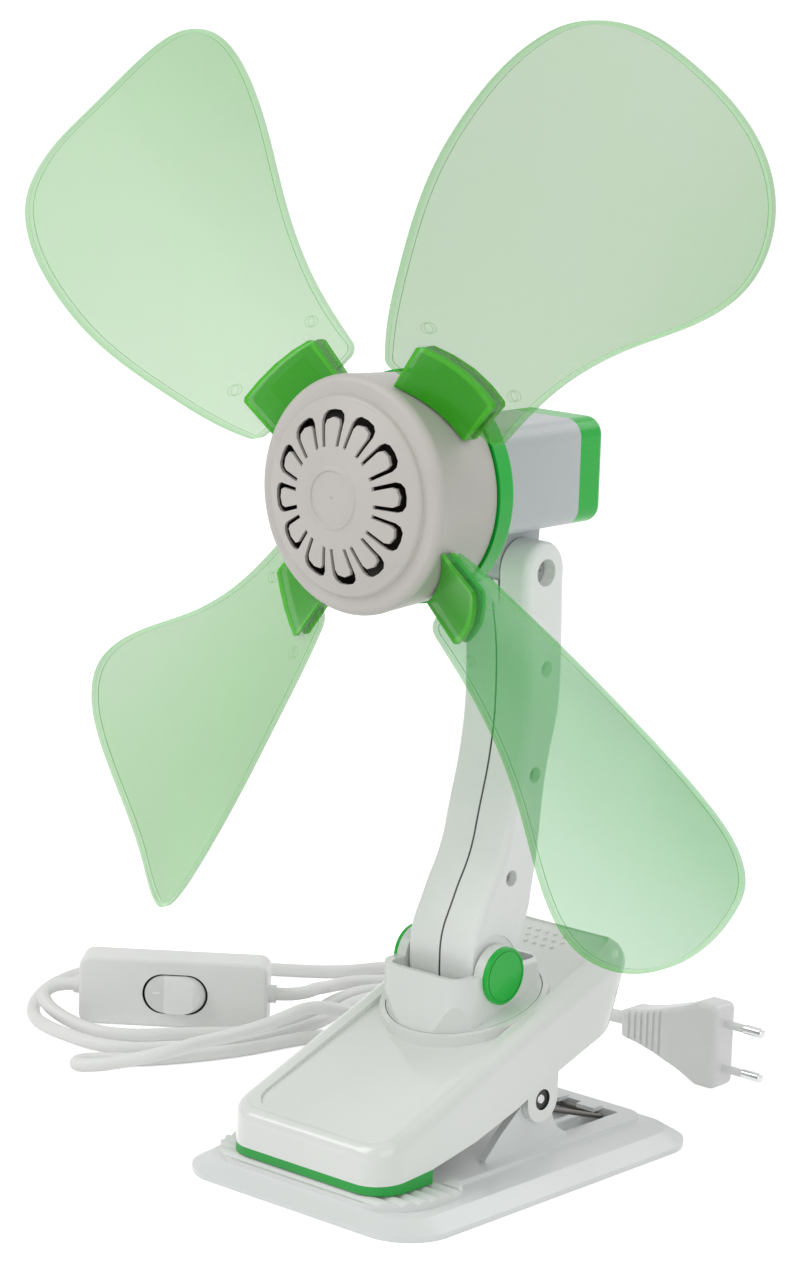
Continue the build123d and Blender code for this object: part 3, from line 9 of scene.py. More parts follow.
import json
import logging
import math
from dataclasses import dataclass, field
from enum import Enum
from typing import Any, Dict, Iterable, List, Optional, Sequence, Tuple, Union

import bmesh
import bpy
from mathutils import Matrix, Vector

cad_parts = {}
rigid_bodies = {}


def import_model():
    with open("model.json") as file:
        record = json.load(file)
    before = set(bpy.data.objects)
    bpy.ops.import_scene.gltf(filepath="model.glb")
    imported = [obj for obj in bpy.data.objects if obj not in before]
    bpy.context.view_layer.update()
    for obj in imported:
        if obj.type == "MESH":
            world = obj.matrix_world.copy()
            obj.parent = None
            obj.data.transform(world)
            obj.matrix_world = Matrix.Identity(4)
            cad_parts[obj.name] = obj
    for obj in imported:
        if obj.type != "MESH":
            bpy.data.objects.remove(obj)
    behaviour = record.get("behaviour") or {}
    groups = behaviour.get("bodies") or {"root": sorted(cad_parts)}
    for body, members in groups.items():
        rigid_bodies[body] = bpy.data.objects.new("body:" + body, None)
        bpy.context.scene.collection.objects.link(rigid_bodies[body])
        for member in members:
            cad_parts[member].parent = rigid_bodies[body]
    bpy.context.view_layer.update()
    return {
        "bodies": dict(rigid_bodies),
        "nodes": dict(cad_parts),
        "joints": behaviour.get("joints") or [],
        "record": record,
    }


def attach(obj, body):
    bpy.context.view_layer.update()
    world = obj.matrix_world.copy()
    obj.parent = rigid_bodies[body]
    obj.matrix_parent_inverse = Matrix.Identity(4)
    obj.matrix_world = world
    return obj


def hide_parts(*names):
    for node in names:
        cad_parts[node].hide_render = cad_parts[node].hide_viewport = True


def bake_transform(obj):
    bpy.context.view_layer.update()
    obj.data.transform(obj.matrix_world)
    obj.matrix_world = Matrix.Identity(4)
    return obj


LOG = logging.getLogger("clip_fan")
Point = Tuple[float, float, float]
Colour = Tuple[float, float, float]

MM = 0.001
AXIS_Z = 0.2594                 # height of the fan's axis
EDGE = 0.1 * MM                 # soft edge of a painted line
CLOUD = (18.0, 3.0)             # scale and octaves of a moulding's slow drift of colour
DRIFTS = (0.35, 0.65)           # where that drift turns from its low to its high colour
FINE = (2.0, 0.6)               # octaves and roughness of its fine texture
GRAIN_HEIGHT = 0.2 * MM


# ------------------------------------------------------------------ shader tools
class Socket:
    """A node socket that can stand in a Python expression."""

    def __init__(self, graph: "Graph", link: Any) -> None:
        """Keep the graph and the output socket."""
        self.graph = graph
        self.link = link

    def _math(self, operation: str, *values: Any) -> "Socket":
        """Add a Math node for one operation."""
        return self.graph.node("ShaderNodeMath", {"operation": operation}, list(values))[0]

    def __add__(self, other: Any) -> "Socket":
        """Sum."""
        return self._math("ADD", self, other)

    def __radd__(self, other: Any) -> "Socket":
        """Sum, reflected."""
        return self._math("ADD", other, self)

    def __sub__(self, other: Any) -> "Socket":
        """Difference."""
        return self._math("SUBTRACT", self, other)

    def __rsub__(self, other: Any) -> "Socket":
        """Difference, reflected."""
        return self._math("SUBTRACT", other, self)

    def __mul__(self, other: Any) -> "Socket":
        """Product."""
        return self._math("MULTIPLY", self, other)

    def __rmul__(self, other: Any) -> "Socket":
        """Product, reflected."""
        return self._math("MULTIPLY", other, self)

    def step(self, low: float, high: float) -> "Socket":
        """Smooth 0 to 1 between two values."""
        return self.graph.node("ShaderNodeMapRange", {"interpolation_type": "SMOOTHSTEP", "clamp": True},
                               [self, low, high, 0.0, 1.0])[0]

    def absolute(self) -> "Socket":
        """Absolute value."""
        return self._math("ABSOLUTE", self)

    def root(self) -> "Socket":
        """Square root."""
        return self._math("SQRT", self)

    def most(self, other: Any) -> "Socket":
        """The larger of two values."""
        return self._math("MAXIMUM", self, other)

    def band(self, middle: float, half: float, soft: float) -> "Socket":
        """1 within half of a value, soft at both ends."""
        return 1.0 - (self - middle).absolute().step(half - soft, half + soft)


class Graph:
    """One material's node tree."""

    def __init__(self, name: str) -> None:
        """Start an empty material.

        Args:
            name: the material's name.
        """
        self.material = bpy.data.materials.new(name)
        self.material.use_nodes = True
        self.tree = self.material.node_tree
        self.tree.nodes.clear()

    def node(self, kind: str, settings: Optional[Dict[str, Any]] = None,
             inputs: Union[Sequence[Any], Dict[str, Any], None] = None) -> List[Socket]:
        """Add any node.

        Args:
            kind: the node's type.
            settings: properties, set before the sockets.
            inputs: values or sockets, by place or by name.

        Returns:
            The node's outputs.
        """
        made = self.tree.nodes.new(kind)
        for key, value in (settings or {}).items():
            setattr(made, key, value)
        named = isinstance(inputs, dict)
        pairs: Iterable[Tuple[Any, Any]] = inputs.items() if named else enumerate(inputs or [])
        for key, value in pairs:
            if value is None:
                continue
            target = made.inputs[key]
            if isinstance(value, Socket):
                self.tree.links.new(value.link, target)
            else:
                target.default_value = value
        return [Socket(self, out) for out in made.outputs]

    def place(self) -> Tuple[Socket, Socket, Socket, Socket]:
        """Object coordinates, whole and split.

        Returns:
            The vector and its x, y and z.
        """
        vector = self.node("ShaderNodeTexCoord")[3]
        x, y, z = self.node("ShaderNodeSeparateXYZ", None, [vector])
        return vector, x, y, z

    def noise(self, vector: Socket, scale: float, detail: float = 2.0, rough: float = 0.5) -> Socket:
        """Noise value.

        Args:
            vector: where it is read.
            scale: its scale.
            detail: octaves.
            rough: share of the fine octaves.

        Returns:
            The value socket.
        """
        read = {"Vector": vector, "Scale": scale, "Detail": detail, "Roughness": rough}
        return self.node("ShaderNodeTexNoise", None, read)[0]

    def bump(self, height: Socket, strength: float, distance: float = GRAIN_HEIGHT) -> Socket:
        """Normal from a height.

        Args:
            height: the height socket.
            strength: how much of it shows.
            distance: what a height of 1 stands for, metres.

        Returns:
            The normal socket.
        """
        read = {"Strength": strength, "Distance": distance, "Height": height}
        return self.node("ShaderNodeBump", None, read)[0]

    def mix(self, share: Any, low: Any, high: Any) -> Socket:
        """Mix two colours.

        Args:
            share: 0 gives low, 1 gives high.
            low: first colour.
            high: second colour.

        Returns:
            The colour socket.
        """
        made = self.tree.nodes.new("ShaderNodeMix")
        made.data_type = "RGBA"
        for target, value in ((made.inputs[0], share), (made.inputs[6], low), (made.inputs[7], high)):
            if isinstance(value, Socket):
                self.tree.links.new(value.link, target)
            elif isinstance(value, tuple):
                target.default_value = (*value, 1.0) if len(value) == 3 else value
            else:
                target.default_value = value
        return Socket(self, made.outputs[2])

    def surface(self, **inputs: Any) -> bpy.types.Material:
        """Close the tree with a Principled shader.

        Args:
            **inputs: socket values, with _ for a space.

        Returns:
            The material.
        """
        named = {key.replace("_", " "): value for key, value in inputs.items()}
        shader = self.node("ShaderNodeBsdfPrincipled", None, named)[0]
        self.node("ShaderNodeOutputMaterial", None, [shader])
        return self.material


def shade(colour: Colour, factor: float) -> Colour:
    """Colour times a factor."""
    return (colour[0] * factor, colour[1] * factor, colour[2] * factor)


# ------------------------------------------------------------------ finishes
@dataclass(frozen=True)
class Moulding:
    """Injection moulded plastic: faint flow variation, fine texture, optional coat."""

    name: str
    colour: Colour
    roughness: float = 0.35
    coat: float = 0.0
    grain: float = 1400.0
    depth: float = 0.06
    drift: float = 0.03
    specular: float = 0.5
    coat_roughness: float = 0.08
    hole_shade: float = 0.06

    def shadowed(self, g: Graph, x: Socket, y: Socket, z: Socket) -> Optional[Socket]:
        """Where painted shade darkens the moulding in a seam, slot or hole.

        Args:
            g: the material's graph.
            x: object x.
            y: object y.
            z: object z.

        Returns:
            1 where it is dark, or None where nothing is.
        """
        return None

    def tint(self, g: Graph, base: Socket, x: Socket, y: Socket, z: Socket) -> Socket:
        """Colour of a mark, or painted shade on one half; plain mouldings have none."""
        return base

    def make(self) -> bpy.types.Material:
        """Build the material.

        Returns:
            The material.
        """
        g = Graph(self.name)
        at, x, y, z = g.place()
        cloud = g.noise(at, *CLOUD)
        grain = g.noise(at, self.grain, *FINE)
        low, high = shade(self.colour, 1.0 - self.drift), shade(self.colour, 1.0 + self.drift * 0.5)
        base = self.tint(g, g.mix(cloud.step(*DRIFTS), low, high), x, y, z)
        # painted shade: where shadowed gives 1, the colour goes to the colour times hole_shade
        dark = self.shadowed(g, x, y, z)
        if dark is not None:
            base = g.mix(dark, base, shade(self.colour, self.hole_shade))
        rough = self.roughness + (cloud - 0.5) * 0.08 + (grain - 0.5) * 0.05
        return g.surface(Base_Color=base, Roughness=rough, Normal=g.bump(grain, self.depth),
                         Coat_Weight=self.coat, Coat_Roughness=self.coat_roughness,
                         Specular_IOR_Level=self.specular)


@dataclass(frozen=True)
class SeamedArm(Moulding):
    """Arm moulding with painted shade in the groove between its halves and in the slits beside the head's
    lug.
    """

    seam: float = 0.42 * MM
    knuckle: Tuple[float, float] = (32.1 * MM, 222.9 * MM)
    reach: Tuple[float, float] = (15.0 * MM, 16.5 * MM)
    slits: Tuple[float, float] = (-8.8 * MM, 3.3 * MM)

    def shadowed(self, g: Graph, x: Socket, y: Socket, z: Socket) -> Optional[Socket]:
        """Painted shade in the seam and the slits."""
        # painted shade: a dark line along the seam away from the knuckle, and the two slits near it
        dy, dz = y - self.knuckle[0], z - self.knuckle[1]
        near = 1.0 - (dy * dy + dz * dz).root().step(*self.reach)
        left, right = (x.band(place, self.seam, EDGE) for place in self.slits)
        return (x.band(0.0, self.seam, EDGE) * (1.0 - near)).most(left.most(right) * near)


@dataclass(frozen=True)
class ClipShell(Moulding):
    """Gloss shell with painted shade on the walls of its pin holes."""

    hinge: Tuple[float, float] = (16.0 * MM, 27.0 * MM)
    hole: float = 4.02 * MM
    wall: float = 0.06 * MM
    lug: float = 34.9 * MM

    def shadowed(self, g: Graph, x: Socket, y: Socket, z: Socket) -> Optional[Socket]:
        """Painted shade on the walls of the pin holes."""
        dy, dz = y - self.hinge[0], z - self.hinge[1]
        in_hole = 1.0 - (dy * dy + dz * dz).root().step(self.hole, self.hole + self.wall)
        return in_hole * x.absolute().step(self.lug, self.lug + 2 * EDGE)


@dataclass(frozen=True)
class SwitchShell(Moulding):
    """Switch moulding with painted shade in the slot around its rocker."""

    at: Point = (-184.8 * MM, 44.8 * MM, 14.5 * MM)
    turn: float = math.radians(37.5)
    middle: float = 1.0 * MM
    half: Tuple[float, float] = (13.7 * MM, 8.5 * MM)
    face: float = -8.5 * MM

    def along(self, x: Socket, y: Socket) -> Tuple[Socket, Socket]:
        """Place along the switch from the slot's middle, and depth behind the switch's axis.

        Args:
            x: object x.
            y: object y.

        Returns:
            Both places, metres.
        """
        ca, sa = math.cos(self.turn), math.sin(self.turn)
        dx, dy = x - self.at[0], y - self.at[1]
        return dx * ca + dy * sa - self.middle, dy * ca - dx * sa

    def shadowed(self, g: Graph, x: Socket, y: Socket, z: Socket) -> Optional[Socket]:
        """Painted shade on the walls of the slot below the face."""
        along, deep = self.along(x, y)
        reach = (along.absolute() - (self.half[0] - self.half[1])).most(0.0)
        up = z - self.at[2]
        out = (reach * reach + up * up).root()
        inside = 1.0 - out.step(self.half[1] + 0.2 * EDGE, self.half[1] + 1.2 * EDGE)
        return inside * deep.step(self.face + 2 * EDGE, self.face + 5 * EDGE)


@dataclass(frozen=True)
class SwitchRocker(SwitchShell):
    """Rocker moulding: painted shade on its flanks in the slot and on its pressed half, and a bright bar
    mark on that half.
    """

    mark_at: Tuple[float, float] = (-7.9 * MM, 0.6 * MM)
    mark: Tuple[float, float] = (1.6 * MM, 0.4 * MM)
    ridge: Tuple[float, float] = (-4.8 * MM, -4.4 * MM)
    bright: Colour = (0.98, 0.98, 0.98)
    # painted shade on the pressed half: its colour times this factor
    pressed_shade: float = 0.90

    def tint(self, g: Graph, base: Socket, x: Socket, y: Socket, z: Socket) -> Socket:
        """Bar mark and painted shade on the pressed half.

        Args:
            g: the material's graph.
            base: colour so far.
            x: object x.
            y: object y.
            z: object z.

        Returns:
            The colour.
        """
        along = self.along(x, y)[0]
        # painted shade on the pressed half, up to the ridge
        pressed = 1.0 - along.step(*self.ridge)
        bar = along.band(self.mark_at[0], self.mark[0], EDGE)
        bar = bar * (z - self.at[2]).band(self.mark_at[1], self.mark[1], EDGE)
        return g.mix(bar, g.mix(pressed, base, shade(self.colour, self.pressed_shade)), self.bright)


@dataclass(frozen=True)
class SoftBlade:
    """Soft see-through blade: pale leaf, deeper bead at its edge, deep green pocket at its root.

    Each face of the leaf is crossed in turn, so the two together give the leaf's depth, and a
    slanting look through the sheet meets more of it.
    """

    number: int
    first: float = math.radians(50.0)
    leaf: Colour = (0.085, 0.500, 0.030)
    bead: Colour = (0.075, 0.600, 0.035)
    pocket: Colour = (0.022, 0.300, 0.010)
    rim: Colour = (0.070, 0.560, 0.012)
    thin: float = 0.25
    slant: float = 0.315
    bead_more: float = 0.09
    bead_flat: float = 0.8
    pocket_alpha: float = 0.92
    rim_less: float = 0.06
    rim_share: float = 0.35
    pocket_top: float = 63.3 * MM
    pocket_side: float = 13.6 * MM
    pocket_rim: float = 1.8 * MM
    pocket_round: float = 11.4
    bead_rise: Tuple[float, float] = (0.98 * MM, 1.08 * MM)
    pocket_rise: Tuple[float, float] = (1.50 * MM, 1.65 * MM)
    rim_rise: Tuple[float, float] = (3.1 * MM, 3.3 * MM)
    mark_at: Tuple[float, float] = (67.2 * MM, 17.2 * MM)
    mark_radius: float = 1.9 * MM
    mark_line: Tuple[float, float] = (0.15 * MM, 0.40 * MM)

    def surface_y(self, u: Socket, w: Socket) -> Socket:
        """Axial place of the blade's middle surface, a quadratic in centimetres along and across.

        Args:
            u: along the blade, metres.
            w: across it, metres.

        Returns:
            The axial place, metres.
        """
        a, b = u * 10.0, w * 10.0
        return (a * -7.6 + b * -53.7 - b * b * 47.8 + a * b * 10.2 + a * a * 6.0 - 42.9) * MM

    def make(self) -> bpy.types.Material:
        """Build the material.

        Returns:
            The material.
        """
        g = Graph(f"soft_blade_{self.number}")
        at, x, y, z = g.place()
        turn = self.first + math.pi / 2 * (self.number - 1)
        ca, sa = math.cos(turn), math.sin(turn)
        u = x * ca + (z - AXIS_Z) * sa
        w = (z - AXIS_Z) * ca - x * sa
        proud = (y - self.surface_y(u, w)).absolute()
        past = self.pocket_top + 1.0 * MM
        in_pocket = proud.step(*self.pocket_rise) * (1.0 - u.step(past, past + 2 * EDGE))
        in_bead = proud.step(*self.bead_rise)
        top = u + w * w * self.pocket_round
        rim_from = self.pocket_top - self.pocket_rim
        at_top = top.step(rim_from - 5 * EDGE, rim_from)
        at_side = w.absolute().step(self.pocket_side - 3 * EDGE, self.pocket_side + 2 * EDGE)
        rim = at_top.most(at_side).most(proud.step(*self.rim_rise) * self.rim_share)
        cloud = g.noise(at, 22.0, 3.0, 0.55)
        fine = g.noise(at, 1200.0, *FINE)
        leaf = g.mix(cloud.step(0.3, 0.7), shade(self.leaf, 0.94), shade(self.leaf, 1.05))
        edged = g.mix(in_bead, leaf, self.bead)
        pocket = g.mix(rim, self.pocket, self.rim)
        base = g.mix(in_pocket, edged, pocket)
        slanting = g.node("ShaderNodeLayerWeight", None, {"Blend": 0.5})[1]
        varying = (slanting * self.slant + (cloud - 0.5) * 0.03) * (1.0 - in_bead * self.bead_flat)
        alpha = varying + self.thin + in_bead * self.bead_more
        alpha = alpha * (1.0 - in_pocket) + in_pocket * (rim * -self.rim_less + self.pocket_alpha)
        ring = self.ring(u, w, self.mark_at[1]) + self.ring(u, w, -self.mark_at[1])
        height = fine * 0.3 + cloud * 0.5 + ring * 3.0
        return g.surface(Base_Color=base, Roughness=0.30 + (cloud - 0.5) * 0.1,
                         Normal=g.bump(height, 0.12, 1.5 * GRAIN_HEIGHT), Alpha=alpha + ring * 0.12,
                         Specular_IOR_Level=0.2, Coat_Weight=0.12, Coat_Roughness=0.1)

    def ring(self, u: Socket, w: Socket, side: float) -> Socket:
        """Faint round ejector mark beside the pocket's corner.

        Args:
            u: along the blade.
            w: across it.
            side: its place across the blade.

        Returns:
            1 on the ring, 0 off it.
        """
        du, dw = u - self.mark_at[0], w - side
        away = ((du * du + dw * dw).root() - self.mark_radius).absolute()
        return 1.0 - away.step(*self.mark_line)


@dataclass(frozen=True)
class HubPlastic:
    """Warm grey moulding with painted shade inside the drum, behind the vents."""

    name: str
    colour: Colour
    # colour of the painted shade inside the drum and behind the vents
    dark: Colour = (0.030, 0.024, 0.019)
    bore: float = 40.9 * MM
    front: float = -57.0 * MM
    dome: float = 0.0

    def make(self) -> bpy.types.Material:
        """Build the material.

        Returns:
            The material.
        """
        g = Graph(self.name)
        at, x, y, z = g.place()
        out = (x * x + (z - AXIS_Z) * (z - AXIS_Z)).root()
        cloud = g.noise(at, *CLOUD)
        grain = g.noise(at, 1300.0, *FINE)
        base = g.mix(cloud.step(*DRIFTS), shade(self.colour, 0.96), shade(self.colour, 1.02))
        # painted shade: inside the bore and behind the front, the colour goes to dark
        behind = (y - (out * out * self.dome + self.front)).step(-EDGE, EDGE)
        inside = (1.0 - out.step(self.bore - EDGE, self.bore + EDGE)) * behind
        rough = 0.42 + (cloud - 0.5) * 0.08 + (grain - 0.5) * 0.05
        return g.surface(Base_Color=g.mix(inside, base, self.dark), Roughness=rough,
                         Normal=g.bump(grain, 0.08))


@dataclass(frozen=True)
class Metal:
    """Plain metal with turned or drawn streaks."""

    name: str
    colour: Colour
    roughness: float = 0.3
    stretch: Point = (300.0, 300.0, 300.0)

    def make(self) -> bpy.types.Material:
        """Build the material.

        Returns:
            The material.
        """
        g = Graph(self.name)
        at = g.place()[0]
        laid = g.node("ShaderNodeMapping", None, {"Vector": at, "Scale": self.stretch})[0]
        streak = g.noise(laid, 4.0, 3.0, 0.6)
        base = g.mix(streak, shade(self.colour, 0.82), shade(self.colour, 1.08))
        return g.surface(Base_Color=base, Metallic=1.0, Roughness=self.roughness + (streak - 0.5) * 0.2,
                         Normal=g.bump(streak, 0.1, 0.5 * GRAIN_HEIGHT))


@dataclass(frozen=True)
class Winding:
    """Enamelled wire laid round the motor's axis, with painted shade in the grooves between its turns."""

    name: str = "winding"
    colour: Colour = (0.52, 0.20, 0.06)
    pitch: float = 9000.0

    def make(self) -> bpy.types.Material:
        """Build the material.

        Returns:
            The material.
        """
        g = Graph(self.name)
        at, x, y, z = g.place()
        out = (x * x + (z - AXIS_Z) * (z - AXIS_Z)).root()
        wire = g.node("ShaderNodeMath", {"operation": "SINE"}, [(out + y) * self.pitch])[0]
        cloud = g.noise(at, 300.0)
        # painted shade: darker in the grooves between turns, lighter on their crests
        base = g.mix(wire * 0.5 + 0.5, shade(self.colour, 0.55), shade(self.colour, 1.1))
        return g.surface(Base_Color=base, Metallic=0.6, Roughness=0.35,
                         Normal=g.bump(wire + cloud, 0.5, 2 * GRAIN_HEIGHT))


class Finish(Enum):
    """Every finish of the fan."""

    CLIP = ClipShell("clip_gloss_white", (0.80, 0.82, 0.79), 0.16, 0.6, 1800.0, 0.02, 0.015)
    BASE = Moulding("base_white", (0.80, 0.82, 0.82), 0.34, 0.15, 1500.0, 0.05)
    PAD = Moulding("tooth_pad_white", (0.80, 0.81, 0.80), 0.5, 0.0, 1200.0, 0.1)
    GREEN = Moulding("green_gloss", (0.008, 0.50, 0.048), 0.26, 0.12, 1800.0, 0.02, 0.06, 0.3)
    GREEN_SOFT = Moulding("green_soft", (0.008, 0.36, 0.045), 0.42, 0.0, 1500.0, 0.06, 0.06)
    TURRET = Moulding("turret_white", (0.79, 0.81, 0.79), 0.24, 0.35, 1600.0, 0.03)
    ARM = SeamedArm("arm_white", (0.93, 0.94, 0.93), 0.36, 0.1, 1300.0, 0.08)
    HOUSING = Moulding("housing_grey", (0.58, 0.60, 0.63), 0.4, 0.05, 1300.0, 0.09)
    DRUM = HubPlastic("hub_warm_grey", (0.565, 0.535, 0.505))
    CAP = HubPlastic("cap_warm_grey", (0.59, 0.56, 0.53), bore=34.5 * MM, front=-68.87 * MM, dome=5.72)
    CORD = Moulding("cord_white", (0.84, 0.84, 0.83), 0.42, 0.05, 900.0, 0.05)
    SWITCH = SwitchShell("switch_white", (0.84, 0.84, 0.83), 0.42, 0.05, 1200.0, 0.12)
    ROCKER = SwitchRocker("rocker_white", (0.84, 0.84, 0.83), 0.3, 0.2, 1500.0, 0.04)
    PLUG = Moulding("plug_white", (0.81, 0.81, 0.81), 0.38, 0.1, 1200.0, 0.06)
    # The four blades are one moulding; their leaf colours and thinness differ only as painted light and
    # shade, set for how each is lit and seen.
    BLADE_1 = SoftBlade(1, leaf=(0.086, 0.41, 0.020), thin=0.305)
    BLADE_2 = SoftBlade(2, leaf=(0.088, 0.50, 0.024), thin=0.268)
    BLADE_3 = SoftBlade(3, leaf=(0.073, 0.466, 0.022), thin=0.304)
    BLADE_4 = SoftBlade(4, leaf=(0.040, 0.50, 0.085), thin=0.300)
    SPRING = Metal("spring_steel", (0.16, 0.15, 0.14), 0.34)
    # black retaining rings; their black also stands in, as painted shade, for the shade inside the pin
    # holes
    BLACK = Moulding("black_ring_and_hole_shade", (0.012, 0.012, 0.012), 0.45, 0.0)
    STEEL = Metal("fastener_steel", (0.58, 0.58, 0.58), 0.32)
    LAMINATION = Metal("stacked_sheet", (0.30, 0.30, 0.31), 0.5, (20.0, 2600.0, 20.0))
    BUSH = Metal("bush", (0.55, 0.40, 0.18), 0.4)
    PIN = Metal("plated_pin", (0.70, 0.70, 0.71), 0.16, (60.0, 900.0, 900.0))
    COPPER = Winding()


WORN_BY: Dict[Finish, Tuple[str, ...]] = {
    Finish.BASE: ("lower_jaw",),
    Finish.PAD: ("lower_grip_pad",),
    Finish.STEEL: ("hinge_pin", "turret_washer", "turret_screws", "arm_pivot_bolt", "arm_pivot_nut",
        "arm_screws", "tilt_bolt", "tilt_nut", "housing_screws", "motor_shaft", "shaft_nut",
        "switch_screws"),
    Finish.SPRING: ("clip_spring",),
    Finish.BLACK: ("pin_retainers",),
    Finish.CORD: ("cord_gland",),
    Finish.CLIP: ("upper_jaw",),
    Finish.GREEN_SOFT: ("upper_grip_pad",),
    Finish.TURRET: ("turret",),
    Finish.GREEN: ("turret_cap_right", "turret_cap_left", "housing_rear_cap", "motor_ring"),
    Finish.ARM: ("arm_right_shell", "arm_left_shell"),
    Finish.HOUSING: ("motor_housing", "motor_bracket"),
    Finish.LAMINATION: ("motor_stator", "motor_core"),
    Finish.COPPER: ("motor_coils",),
    Finish.BUSH: ("bearing_front", "bearing_rear"),
    Finish.DRUM: ("rotor_drum",),
    Finish.CAP: ("hub_cap",),
    Finish.BLADE_1: ("blade_1",),
    Finish.BLADE_2: ("blade_2",),
    Finish.BLADE_3: ("blade_3",),
    Finish.BLADE_4: ("blade_4",),
    Finish.SWITCH: ("switch_front_shell", "switch_back_shell"),
    Finish.ROCKER: ("switch_rocker",),
    Finish.PLUG: ("plug_body", "plug_sleeves"),
    Finish.PIN: ("plug_pins",),
}


class Wardrobe:
    """Makes each finish once and puts it on the frame's nodes."""

    def __init__(self, frame: Dict[str, Any]) -> None:
        """Keep the frame.
        """
        self.nodes: Dict[str, bpy.types.Object] = frame["nodes"]
        self.made: Dict[Finish, bpy.types.Material] = {}

    def of(self, finish: Finish) -> bpy.types.Material:
        """The material of a finish, made on first use."""
        if finish not in self.made:
            self.made[finish] = finish.value.make()
        return self.made[finish]

    def dress(self, piece: bpy.types.Object, finish: Finish) -> None:
        """Put one finish all over a piece."""
        piece.data.materials.clear()
        piece.data.materials.append(self.of(finish))

    def dress_nodes(self) -> None:
        """Dress every node of the frame that has a finish."""
        for finish, names in WORN_BY.items():
            for name in names:
                self.dress(self.nodes[name], finish)
                LOG.info("dressed %s as %s", name, finish.name)


# ------------------------------------------------------------------ spring
@dataclass
class ClipSpring:
    """The clip's torsion spring."""

    hinge: Point = (0.0, 16.0 * MM, 27.0 * MM)
    turn_over: float = 3.5 * MM

    def build(self, wardrobe: Wardrobe) -> None:
        """Copy the solid's wire and wind it between the two jaws.

        Args:
            wardrobe: the finishes and the frame's nodes.
        """
        solid = wardrobe.nodes["clip_spring"]
        spring = bpy.data.objects.new("torsion_spring", solid.data.copy())
        bpy.context.scene.collection.objects.link(spring)
        wardrobe.dress(spring, Finish.SPRING)
        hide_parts("clip_spring")
        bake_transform(spring)
        LOG.info("spring wound between the jaws")


